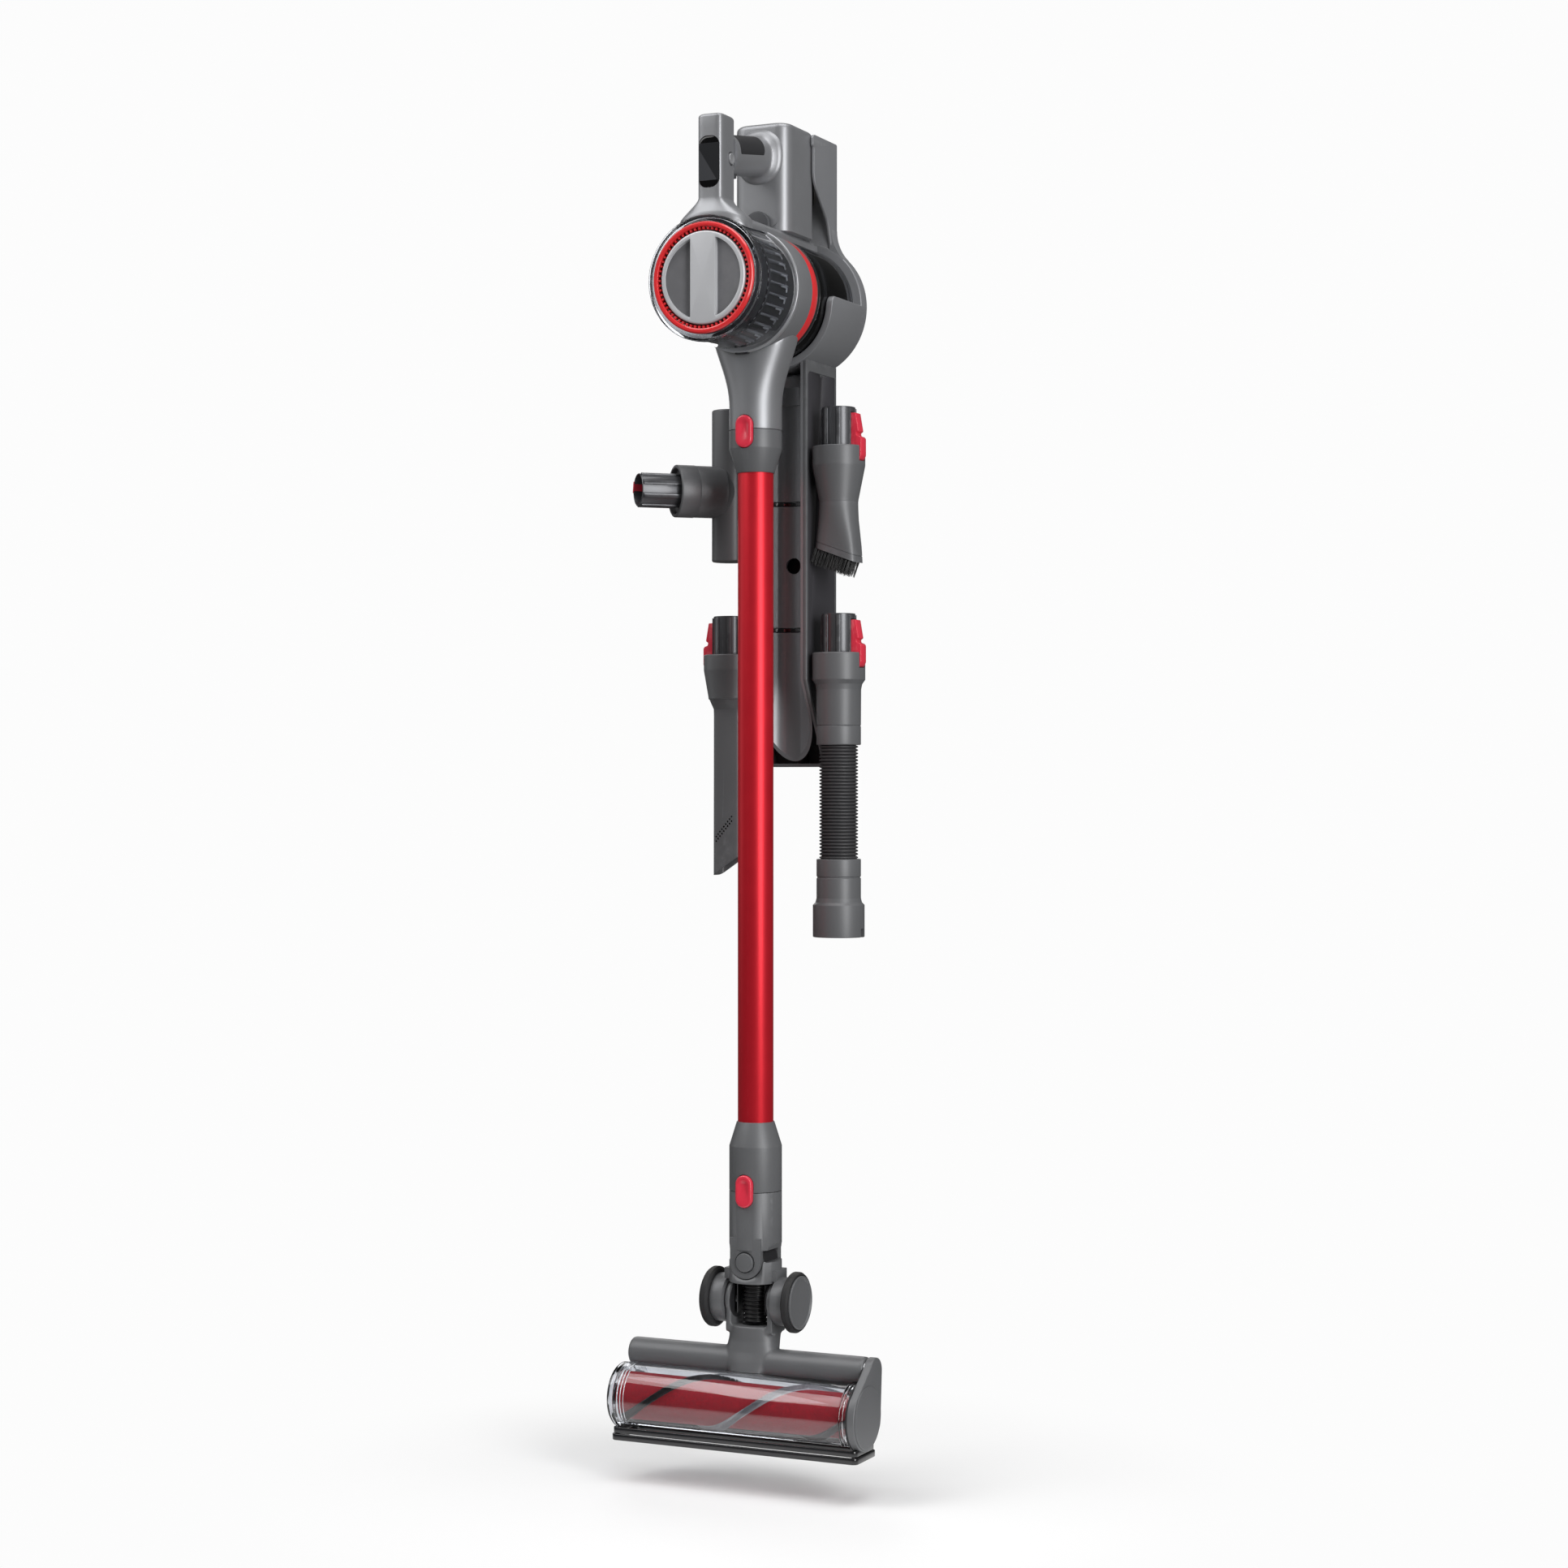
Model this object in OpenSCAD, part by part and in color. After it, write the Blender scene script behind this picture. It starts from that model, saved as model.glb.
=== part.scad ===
// Cordless stick vacuum on its wall charging dock, with four stored tools.
// Millimetres, +Z up. The origin is the centre of the dock's two wall screws,
// on the wall plane Y = 0. The front of everything faces -Y.

/* [Wall dock] */
// Width of the dock column
dock_w = 62; // [56:1:64]
// Depth of the dock column from the wall
dock_d = 67; // [60:1:72]
// Height of the column's open end below the screw centre
dock_drop = 356; // [330:1:400]
// Height of the sloping front at the column's foot
foot_slope_h = 80; // [50:1:110]
// Depth of the column at its very foot
foot_d = 24; // [20:1:40]
// Wall thickness of the dock mouldings
dock_wall = 3; // [2:0.5:4]
// Radius of the half-round channel in the column
trough_r = 25; // [20:0.5:26]
// Thickness of the flat back plate
plate_t = 4; // [3:0.5:6]
// Distance between the two wall screws
screw_gap = 336; // [300:1:350]
// Radius of each wall screw hole
screw_r = 2.5; // [2:0.25:3.5]
// Radius of the hole that lets a screwdriver through
access_r = 7.5; // [5:0.5:9]
// Height of the bracket's top above the screw centre
bracket_top = 229; // [215:1:240]
// Depth of the bracket beside the battery
bracket_d = 54; // [44:1:60]
// Thickness of the saddle below the motor
saddle_t = 6.5; // [4:0.5:9]
// Forward reach of the saddle from the wall
saddle_d = 80; // [60:1:86]

/* [Dust cup and motor] */
// Distance of the wand's axis from the wall
wand_off = 110; // [106:1:124]
// Height of the cup's axis above the screw centre
cup_z = 74; // [70:1:80]
// Outer radius of the cup and the motor cover
cup_r = 56; // [50:0.5:58]
// Wall thickness of the clear shells
cup_wall = 2.4; // [1.8:0.2:3.4]
// Reach of the cup's front in front of the wand's axis
cup_front = 103; // [96:1:115]
// Length of the clear dust cup
cup_len = 73; // [66:1:85]
// Width of the bright seam ring
seam_w = 5; // [3:0.5:8]
// Length of the grey housing ring
ring_len = 28; // [24:1:34]
// Width of the red band
band_w = 17; // [12:1:20]
// Length of the clear rear cover
rear_len = 76; // [70:1:77]
// Step from the cup's outside in to the red front ring
red_inset = 6.6; // [5:0.2:10]
// Width of the red front ring
red_ring_w = 3.9; // [3:0.1:5]
// Thickness of the knob's disc
knob_t = 6; // [5:0.5:8]
// Radius of the motor
motor_r = 30; // [24:1:34]
// Radius of the impeller
fan_r = 34; // [26:1:40]

/* [Handle and battery] */
// Width of the upright post
post_w = 25; // [22:0.5:30]
// Depth of the upright post
post_d = 30; // [26:1:34]
// Height of the post's top above the screw centre
post_top = 221; // [216:1:228]
// Width of the grip
grip_w = 30; // [26:1:36]
// Height of the grip
grip_h = 42; // [38:1:46]
// Height of the grip's middle above the screw centre
grip_z = 193; // [190:1:196]
// Thickness of the rubber on the grip
rubber_t = 3; // [2:0.5:4]
// Width of the battery
batt_w = 56; // [52:1:56]
// Depth of the battery
batt_d = 64; // [62:1:66]
// Height of the battery
batt_h = 100; // [92:1:106]
// Wall thickness of the battery case
batt_wall = 2.5; // [2:0.25:3]
// Corner radius of the battery case
batt_r = 8; // [5:0.5:12]
// Radius of one battery cell
cell_r = 9.2; // [8.5:0.1:9.3]
// Height of one battery cell
cell_h = 65; // [60:1:68]
// Width of the rail on top of the cup
rail_w = 52; // [46:1:56]
// Thickness of the rail at the cup's crown
rail_t = 2; // [1.5:0.5:4]

/* [Wand] */
// Length from the cup's axis down to the wand's seam
inlet_h = 124; // [118:1:136]
// Outer radius of the wand's collars
collar_r = 24; // [22:0.5:26]
// Outer radius of the wand tube
tube_r = 16.25; // [15:0.25:18]
// Wall thickness of the wand tube
tube_t = 1.2; // [0.8:0.1:2]
// Visible length of the wand tube
tube_len = 590.3; // [480:0.1:640]
// Height of the straight band of the upper collar
band_h = 17; // [12:1:24]
// Height of the tapers between collars and tube
taper_h = 22; // [16:1:30]
// Height of the straight part of the lower collar
socket_h = 41; // [34:1:50]
// Width of a release button
button_w = 16.3; // [12:0.1:18]
// Length of a release button
button_h = 29.5; // [24:0.5:34]
// Thickness of a release button
button_t = 6.5; // [5:0.5:7]

/* [Floor head] */
// Length of the neck's sleeve
sleeve_h = 52; // [40:1:60]
// Drop from the sleeve's end to the side swivel
swivel_drop = 11; // [10:0.5:14]
// Drop from the side swivel to the wheel axle
axle_drop = 36.5; // [36:0.5:42]
// Drop from the axle to the head's back tube
back_drop = 55; // [53:0.5:62]
// Drop from the axle to the roller cover's axis
roller_drop = 92; // [90:0.5:96]
// Radius of the swivel's round boss
boss_r = 15; // [13:0.5:16]
// Radius of the swivel pins
pin_r = 4; // [3:0.25:5]
// Radius of the axle bosses
hub_boss_r = 22; // [18:0.5:24]
// Radius of the wheel axles
axle_r = 5; // [4:0.25:6]
// Outer radius of the wheels
wheel_r = 27.5; // [26:0.5:30]
// Width of the wheels
wheel_w = 9.5; // [8:0.5:12]
// Overall width of the floor head
head_w = 250; // [230:1:300]
// Radius of the head's back tube
back_r = 13; // [12:0.5:14]
// Radius of the clear roller cover
cover_r = 30; // [28:0.5:32]
// Thickness of the clear roller cover
cover_t = 2.2; // [1.6:0.2:3]
// Thickness of the belt end cap
cap_t = 9; // [8:0.5:12]
// Radius of the roller's felt
felt_r = 21; // [18:0.5:23]
// Radius of the roller's tube
core_r = 17.5; // [14:0.5:18]

/* [Stored tools] */
// Distance of the tools' axes from the centre plane
tool_x = 56; // [54:0.5:60]
// Distance of the tools' axes from the wall
tool_off = 50; // [48:0.5:54]
// Outer radius of the tools' collars
tool_r = 24.6; // [22:0.2:25]
// Outer radius of the tools' spigots
spigot_r = 16.5; // [15:0.25:18]
// Length of the tools' spigots
spigot_h = 36; // [32:1:40]
// Length of the slot that drops over a hook
slot_h = 46; // [44:1:50]
// Length of the hose's bellows
bellows_len = 105; // [80:1:130]
// Radius of the hose's bellows
bellows_r = 18; // [15:0.5:19]

/* [Hidden] */
$fn = 72;
gap = 0.3;
run = 0.05;
far = 400;

silver = "#9b9c9f";
mid_grey = "#6b6c6e";
dark_grey = "#3b3c3e";
black = "#1c1c1d";
red = "#d2283a";
coral = "#f0485c";
steel = "#9a9a9a";
gold = "#c9a24a";
pale_grey = "#c9cacc";
paper = "#e8e8e4";
smoke = [0.35, 0.36, 0.38, 0.5];
clear = [0.8, 0.82, 0.85, 0.4];

wand_y = -wand_off;
front_y = wand_y - cup_front;
seam_y = front_y + cup_len;
house_y = seam_y + seam_w;
band_y = house_y + ring_len;
rear_y = band_y + band_w;
end_y = rear_y + rear_len;
cup_top = cup_z + cup_r;
rail_top = cup_top + rail_t;
post_y = front_y + 8;
post_back = post_y + post_d;
batt_back = -38;
batt_y = batt_back - batt_d;
batt_top = rail_top + batt_h;
hook_d = 12;
hook_h = 20;
trigger_w = 10;
trigger_d = 14;
trigger_y = post_back + 2;
button_pocket = 9.5;
button_out = 2.5;

seam_r = cup_r + 0.8;
red_ring_r = cup_r - red_inset;
knob_r = red_ring_r - red_ring_w - 2.5;
cyclone_r = cup_r - 17;
cyclone_t = 4;
rib_r = cyclone_r + 3;
filter_r = cyclone_r - 9;
cone_h = 36;
cone_w = 84;
cone_d = 54;
cone_drop = 40;
wand_bore = tube_r - 3;

seam_z = cup_z - inlet_h;
tube_top = seam_z - band_h - taper_h;
tube_end = tube_top - tube_len;
socket_z = tube_end - taper_h;
sleeve_z = socket_z - socket_h;
sleeve_end = sleeve_z - sleeve_h;
wand_button_z = seam_z - 2.8;
head_button_z = sleeve_z + 1.5;
swivel_z = sleeve_end - swivel_drop;
axle_z = swivel_z - axle_drop;
back_z = axle_z - back_drop;
back_y = wand_y - 8;
roller_z = axle_z - roller_drop;
roller_y = wand_y - 28;
skirt_top = 22;
skirt_y = sqrt(cover_r * cover_r - skirt_top * skirt_top) + 2;
skirt_z = roller_z - cover_r - 8;
half_head = head_w / 2;
cap_x = half_head - cap_t;
tuft_r = cover_r - 4.3;
tuft_w = 5.5;
tufts = 28;
tuft_turn = 418;
tuft_first = 322;
felt_x0 = -half_head + 9;
felt_x1 = cap_x - 1;
arm_in = 18;
arm_out = 24;
boss_in = arm_out + gap;
boss_out = boss_in + 12;
wheel_x = boss_out + gap;
duct_r = 10.5;
arm_r = 17.5;
barrel_low = 17;
tongue_t = 7;
swivel_max = 20;
boss_y = collar_r - 8.5 - gap;

dock_top = cup_z - 48;
dock_foot = -dock_drop;
trough_y = 14 - dock_d;
inlet_y = -plate_t - 8;
cradle_in = batt_w / 2 + 1;
saddle_in = cup_r + gap;
saddle_out = saddle_in + saddle_t;

tool_y = -tool_off;
hook_y = tool_y + tool_r - 6;
brush_top = -25;
brush_z = brush_top - spigot_h;
lower_top = -215;
lower_z = lower_top - spigot_h;
mini_z = -99;
mini_lo = -164;
mini_hi = -22;
mini_r = 17;
mini_reach = 90;
hose_body_z = lower_z - 75;
bellows_top = hose_body_z - 10;
bellows_end = bellows_top - bellows_len;
socket_len = 72;
collar_h = 42;
cuff_r = 20.5;
tool_bore = spigot_r - 2.5;
brush_collar_h = 52;
brush_neck_r = 18;
brush_w = 42;
brush_d = 26;
brush_waist = brush_z - brush_collar_h;
brush_lip = brush_waist - 48;
brush_lean = 20;
bristle_len = 15;
hook_drop = 11;
brush_slot = brush_z - hook_drop;
lower_slot = lower_z - hook_drop;
mini_slot = mini_z + 35;

// ---- helpers ----

module box(lo, hi) {
    translate(lo)
        cube(hi - lo);
}

module along_x(x0, x1, r) {
    translate([x0, 0, 0])
        rotate([0, 90, 0])
            cylinder(r = r, h = x1 - x0);
}

module along_y(y0, y1, r) {
    translate([0, y1, 0])
        rotate([90, 0, 0])
            cylinder(r = r, h = y1 - y0);
}

module ring_x(x0, x1, r_out, r_in) {
    difference() {
        along_x(x0, x1, r_out);
        along_x(x0 - 1, x1 + 1, r_in);
    }
}

module ring_y(y0, y1, r_out, r_in) {
    difference() {
        along_y(y0, y1, r_out);
        along_y(y0 - 1, y1 + 1, r_in);
    }
}

module ring_z(z0, z1, r_out, r_in) {
    translate([0, 0, z0])
        difference() {
            cylinder(r = r_out, h = z1 - z0);
            translate([0, 0, -1])
                cylinder(r = r_in, h = z1 - z0 + 2);
        }
}

// Flat outline with round ends, w wide and h high
module stadium(w, h) {
    for (side = [-1, 1])
        translate([0, side * (h - w) / 2])
            circle(d = w);
    square([w, h - w], center = true);
}

// Stadium bar from y0 to y1 with its middle at height z
module stadium_bar(y0, y1, z, w, h) {
    translate([0, y1, z])
        rotate([90, 0, 0])
            linear_extrude(y1 - y0)
                stadium(w, h);
}

module round_rect(w, d, r) {
    for (sx = [-1, 1], sy = [-1, 1])
        translate([sx * (w / 2 - r), sy * (d / 2 - r)])
            circle(r = r);
    square([w - 2 * r, d], center = true);
    square([w, d - 2 * r], center = true);
}

module at_cup() {
    translate([0, 0, cup_z])
        children();
}

module at_wand() {
    translate([0, wand_y, 0])
        children();
}

module at_axle() {
    translate([0, wand_y, axle_z])
        children();
}

module at_roller() {
    translate([0, roller_y, roller_z])
        children();
}

module both_sides() {
    children();
    mirror([1, 0, 0])
        children();
}

// Side profile in Y and Z, w wide across the centre plane
module side_profile(w, points) {
    translate([-w / 2, 0, 0])
        rotate([90, 0, 90])
            linear_extrude(w)
                polygon(points);
}

// ---- wall dock ----

module column_profile(w) {
    side_profile(w, [[-plate_t, dock_top], [-dock_d, dock_top],
        [-dock_d, dock_foot + foot_slope_h], [-foot_d, dock_foot],
        [-plate_t, dock_foot]]);
}

module trough_outline(grow) {
    translate([0, trough_y])
        circle(r = trough_r + grow);
    translate([-trough_r - grow, -dock_d - 1])
        square([2 * (trough_r + grow), trough_y + dock_d + 1]);
}

module trough_body() {
    intersection() {
        column_profile(2 * trough_r + 2 * dock_wall);
        translate([0, 0, dock_foot + dock_wall])
            linear_extrude(dock_top - dock_foot)
                difference() {
                    trough_outline(dock_wall);
                    trough_outline(0);
                }
    }
}

module dock_column() {
    inner = 2 * (trough_r + dock_wall);
    color(mid_grey)
        difference() {
            union() {
                difference() {
                    column_profile(dock_w);
                    box([-inner / 2, -far, dock_foot + dock_wall], [inner / 2, 1, far]);
                }
                box([-dock_w / 2, -plate_t, dock_foot], [-inner / 2, 0, dock_top]);
                box([inner / 2, -plate_t, dock_foot], [dock_w / 2, 0, dock_top]);
            }
            at_cup()
                along_y(-far, 1, saddle_out);
            translate([0, inlet_y, dock_foot - 1])
                cylinder(r = 5.5, h = dock_wall + 2);
        }
}

module dock_trough() {
    color(black)
        difference() {
            trough_body();
            at_cup()
                along_y(-far, 1, saddle_out);
            translate([0, 0, -screw_gap / 2])
                along_y(-dock_d, -plate_t, access_r);
        }
}

module dock_back_plate() {
    color(dark_grey)
        difference() {
            box([-batt_w / 2, -plate_t, dock_foot], [batt_w / 2, 0, bracket_top - 4]);
            for (side = [-1, 1])
                translate([0, 0, side * screw_gap / 2])
                    along_y(-plate_t - 1, 1, screw_r);
        }
}

module saddle() {
    intersection() {
        at_cup()
            ring_y(-saddle_d, -plate_t, saddle_out, saddle_in);
        side_profile(3 * cup_r, [[-saddle_d, cup_z], [-saddle_d + 12, cup_z - saddle_out],
            [-plate_t, cup_z - saddle_out], [-plate_t, cup_z]]);
    }
}

module dock_cradle() {
    wall = dock_wall;
    foot = cup_z + 36;
    color(mid_grey)
        difference() {
            union() {
                both_sides()
                    translate([cradle_in + wall / 2, 0, 0])
                        side_profile(wall, [[0, bracket_top], [-bracket_d, bracket_top],
                            [-bracket_d, bracket_top - 43], [-20, bracket_top - 76],
                            [end_y + gap, bracket_top - 97], [end_y + gap, foot], [0, foot]]);
                box([-cradle_in - wall, -plate_t - 4, foot],
                    [cradle_in + wall, -plate_t, bracket_top]);
                at_cup()
                    along_y(end_y + gap, 0, saddle_out);
                saddle();
            }
            box([-batt_w / 2, -plate_t, dock_foot], [batt_w / 2, 1, bracket_top - 4]);
            translate([0, 0, screw_gap / 2])
                along_y(-far, 1, access_r);
        }
}

module dock_board() {
    color("#1f5c3a") {
        box([-20, -plate_t - 1.6, dock_foot + 60], [20, -plate_t, dock_foot + 150]);
        box([-12, -plate_t - 12, dock_foot + 80], [12, -plate_t - 1.6, dock_foot + 105]);
        box([-9, -plate_t - 10, dock_foot + 120], [9, -plate_t - 1.6, dock_foot + 138]);
    }
}

module dock_contacts() {
    z = rail_top + 46;
    color(black)
        box([-12, -20, z - 6], [12, -plate_t - 4, z + 6]);
    color(gold)
        for (side = [-1, 1])
            translate([side * 7, 0, z])
                along_y(batt_back + hook_d + gap, -20, 2);
}

module power_inlet() {
    color(black)
        translate([0, inlet_y, 0])
            difference() {
                union() {
                    ring_z(dock_foot, dock_foot + 14, 5.5, 2.75);
                    ring_z(dock_foot + 14, dock_foot + 16, 5.5, 1);
                    box([-5, 0, dock_foot + dock_wall], [5, 8, dock_foot + 14]);
                }
                translate([0, 0, dock_foot - 1])
                    cylinder(r = 2.75, h = 15);
            }
}

// Upturned hook for one tool; top is the roof of the tool's slot
module tool_hook(side, top) {
    base = top - hook_h;
    translate([side * tool_x, 0, 0]) {
        box([-6, hook_y + gap, base], [6, hook_y + 4, top - gap]);
        box([-6, hook_y + gap, base], [6, hook_y + 13, base + 6]);
    }
    x0 = side * dock_w / 2;
    x1 = side * (tool_x + 6);
    box([min(x0, x1), hook_y + 7.5, base], [max(x0, x1), hook_y + 13, top - 3]);
}

module tool_hooks() {
    color(dark_grey) {
        tool_hook(1, brush_slot);
        tool_hook(1, lower_slot);
        tool_hook(-1, lower_slot);
        tool_hook(-1, mini_slot);
    }
}

// ---- vacuum: housing, handle, battery ----

module main_housing() {
    color(silver)
        difference() {
            union() {
                at_cup()
                    ring_y(house_y, band_y, cup_r, cup_r - 6);
                at_cup()
                    ring_y(band_y - 3, band_y, cup_r - 5, 12);
                box([-rail_w / 2, post_y, cup_top - 9], [rail_w / 2, end_y - 18, rail_top]);
                intersection() {
                    at_cup()
                        along_y(front_y + 2, front_y + 22, cup_r + rail_t);
                    box([-35, -far, cup_z + 40], [35, 0, far]);
                }
            }
            at_cup()
                along_y(-far, house_y, seam_r);
            at_cup()
                along_y(band_y, 0, cup_r);
        }
}

module handle_post() {
    r = 6;
    color(silver)
        difference() {
            union() {
                translate([0, post_y + post_d / 2, rail_top])
                    linear_extrude(post_top - rail_top)
                        round_rect(post_w, post_d, r);
                translate([0, post_y + post_d / 2, rail_top])
                    linear_extrude(8)
                        round_rect(post_w + 10, post_d + 6, r);
            }
            box([-10.2, post_y - 1, post_top - 66], [10.2, post_y + 1.8, post_top - 20]);
            translate([0, post_y + post_d - 10, grip_z - 10])
                along_x(post_w / 2 - 6, post_w, 5 + gap);
        }
}

module screen() {
    color(black)
        box([-10, post_y + 0.2, post_top - 65.8], [10, post_y + 1.8, post_top - 20.2]);
}

module rubber_zone() {
    difference() {
        stadium_bar(post_back + 4, batt_y - 16, grip_z, grip_w, grip_h);
        stadium_bar(post_back, batt_y, grip_z, grip_w - 2 * rubber_t, grip_h - 2 * rubber_t);
        box([-far, -far, -far], [far, far, grip_z + 2]);
    }
}

module grip() {
    color(silver)
        difference() {
            union() {
                stadium_bar(post_back, batt_y, grip_z, grip_w, grip_h);
                stadium_bar(batt_y - 12, batt_y, grip_z, grip_w + 6, grip_h + 4);
            }
            rubber_zone();
            box([-trigger_w / 2 - gap, trigger_y - gap, grip_z - far],
                [trigger_w / 2 + gap, trigger_y + trigger_d + gap, grip_z - grip_h / 2 + 8]);
        }
}

module grip_rubber() {
    color(black)
        rubber_zone();
}

module trigger() {
    low = grip_z - grip_h / 2;
    color(dark_grey)
        difference() {
            box([-trigger_w / 2, trigger_y, low - 8],
                [trigger_w / 2, trigger_y + trigger_d, low + 3.5]);
            translate([0, trigger_y + 18, low - 6])
                along_x(-far, far, 9);
        }
}

module lock_button() {
    color(dark_grey)
        translate([0, post_back - 10, grip_z - 10])
            along_x(post_w / 2 - 3.2, post_w / 2 + 1.2, 5);
}

module battery_outline(cut) {
    translate([0, batt_y + batt_d / 2])
        round_rect(batt_w - 2 * cut, batt_d - 2 * cut, batt_r - cut);
}

module battery_case() {
    color(silver)
        difference() {
            union() {
                translate([0, 0, rail_top])
                    linear_extrude(batt_h)
                        battery_outline(0);
                box([-20, batt_back - 1, rail_top + 34], [20, batt_back + hook_d, batt_top - 8]);
            }
            translate([0, 0, rail_top + batt_wall])
                linear_extrude(batt_h - 2 * batt_wall)
                    battery_outline(batt_wall);
        }
}

module battery_cells() {
    color("#2f6fae")
        for (sx = [-1, 1], k = [-1, 0, 1])
            translate([sx * (cell_r + 0.6), batt_y + batt_d / 2 + k * 2 * (cell_r + 0.6),
                rail_top + batt_wall])
                cylinder(r = cell_r, h = cell_h);
}

module battery_tab() {
    w = 12.5;
    color(dark_grey)
        translate([0, batt_y - 6.5, rail_top + gap])
            intersection() {
                union() {
                    box([-w, 0, 0], [w, 6, 6]);
                    translate([0, 0, 6])
                        along_y(0, 6, w);
                }
                box([-w, 0, 0], [w, 6, far]);
            }
}

// ---- vacuum: cup, filters, motor ----

module dust_cup() {
    color(clear)
        at_cup() {
            ring_y(front_y, seam_y, cup_r, cup_r - cup_wall);
            ring_y(front_y, front_y + 3, cup_r - cup_wall / 2, red_ring_r);
        }
}

module seam_ring() {
    color(silver)
        at_cup()
            ring_y(seam_y, house_y, seam_r, cup_r - cup_wall);
}

module red_band() {
    color(red)
        at_cup()
            ring_y(band_y, rear_y, cup_r, cup_r - cup_wall);
}

module rear_cover() {
    color(smoke)
        at_cup()
            difference() {
                along_y(rear_y, end_y, cup_r);
                along_y(rear_y - 1, end_y - 3, cup_r - cup_wall);
                for (k = [0 : 11])
                    rotate([0, k * 30, 0])
                        translate([0, 0, 34])
                            box([-2.5, end_y - 4, -14], [2.5, end_y + 1, 14]);
            }
}

module cyclone_core() {
    core_y = front_y + 29;
    core_end = house_y - 4;
    color(dark_grey)
        at_cup() {
            ring_y(core_end, house_y, cup_r - cup_wall - 0.2, filter_r - 10);
            ring_y(core_y, core_end, cyclone_r, cyclone_r - cyclone_t);
            ring_y(core_y, core_y + 3, rib_r + 3, cyclone_r - cyclone_t);
            for (k = [0 : 23])
                rotate([0, k * 15, 0])
                    box([-1.2, core_y + 3, cyclone_r - 0.5], [1.2, core_end, rib_r]);
        }
}

module red_ring() {
    color(red)
        at_cup()
            ring_y(front_y - 4, front_y + 4, red_ring_r, red_ring_r - red_ring_w);
}

module front_knob() {
    color(pale_grey)
        at_cup()
            difference() {
                along_y(front_y - 4, front_y - 4 + knob_t, knob_r);
                both_sides()
                    intersection() {
                        along_y(front_y - 5, front_y + knob_t - 6, knob_r - 5);
                        box([9, -far, -far], [far, far, far]);
                    }
            }
}

module front_filter() {
    color(black)
        at_cup() {
            difference() {
                along_y(front_y - 4 + knob_t, front_y + 26, red_ring_r - red_ring_w - gap);
                along_y(front_y + 8, front_y + 27, filter_r);
            }
        }
}

module motor() {
    color(dark_grey)
        at_cup()
            difference() {
                union() {
                    along_y(band_y, band_y + 44, motor_r);
                    along_y(band_y + 44, band_y + 52, motor_r - 14);
                }
                along_y(band_y - 1, band_y + 12, 3 + run);
            }
}

module impeller() {
    color(steel)
        at_cup() {
            along_y(band_y - 8, band_y + 10, 3);
            along_y(band_y - 8, band_y - 6, fan_r);
            along_y(band_y - 16, band_y - 8, 9);
            for (k = [0 : 8])
                rotate([0, k * 40, 0])
                    box([-1, band_y - 15, 6], [1, band_y - 8, fan_r - 2]);
        }
}

module exhaust_filter() {
    color(paper)
        at_cup()
            ring_y(end_y - 43, end_y - 3, cup_r - 8, motor_r + 2);
}

// ---- inlet, wand and buttons ----

module button_pocket(z) {
    translate([0, wand_y - collar_r + button_pocket - 2, z])
        rotate([90, 0, 0])
            linear_extrude(20)
                stadium(button_w + 2 * gap, button_h + 2 * gap);
}

module push_button(z) {
    face_y = wand_y - collar_r - button_out;
    stadium_bar(face_y, face_y + button_t, z, button_w, button_h);
}

module inlet_cone() {
    flare_z = seam_z + cone_h;
    color(silver)
        difference() {
            union() {
                at_wand()
                    translate([0, 0, seam_z])
                        cylinder(r = collar_r, h = cone_h);
                hull() {
                    at_wand()
                        translate([0, 0, flare_z - 1])
                            cylinder(r = collar_r, h = 1, $fn = 32);
                    translate([0, wand_y, cup_z - cone_drop])
                        linear_extrude(1)
                            round_rect(cone_w, cone_d, 20, $fn = 32);
                }
            }
            at_cup()
                along_y(-far, 0, cup_r);
            at_cup()
                along_y(-far, house_y, seam_r);
            at_wand()
                translate([0, 0, seam_z - 1])
                    cylinder(r = wand_bore, h = cone_h + 24);
            button_pocket(wand_button_z);
        }
}

module wand_button() {
    color(coral)
        push_button(wand_button_z);
}

module upper_collar() {
    color(mid_grey)
        difference() {
            at_wand() {
                translate([0, 0, seam_z - band_h])
                    cylinder(r = collar_r, h = band_h);
                translate([0, 0, tube_top])
                    cylinder(r1 = tube_r + 1, r2 = collar_r, h = taper_h);
            }
            at_wand()
                translate([0, 0, tube_top - 1])
                    cylinder(r = tube_r, h = band_h + taper_h - 2);
            at_wand()
                translate([0, 0, tube_top])
                    cylinder(r = wand_bore, h = far);
            button_pocket(wand_button_z);
        }
}

module wand_tube() {
    color(red)
        at_wand()
            ring_z(socket_z, seam_z - 3, tube_r, tube_r - tube_t);
}

module lower_collar() {
    color(mid_grey)
        difference() {
            at_wand() {
                translate([0, 0, socket_z])
                    cylinder(r1 = collar_r, r2 = tube_r + 1, h = taper_h);
                translate([0, 0, sleeve_z])
                    cylinder(r = collar_r, h = socket_h);
            }
            at_wand()
                translate([0, 0, socket_z])
                    cylinder(r = tube_r, h = far);
            at_wand()
                translate([0, 0, sleeve_z - 1])
                    cylinder(r = wand_bore, h = far);
            button_pocket(head_button_z);
        }
}

module head_button() {
    color(coral)
        push_button(head_button_z);
}

// ---- floor head ----

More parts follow.
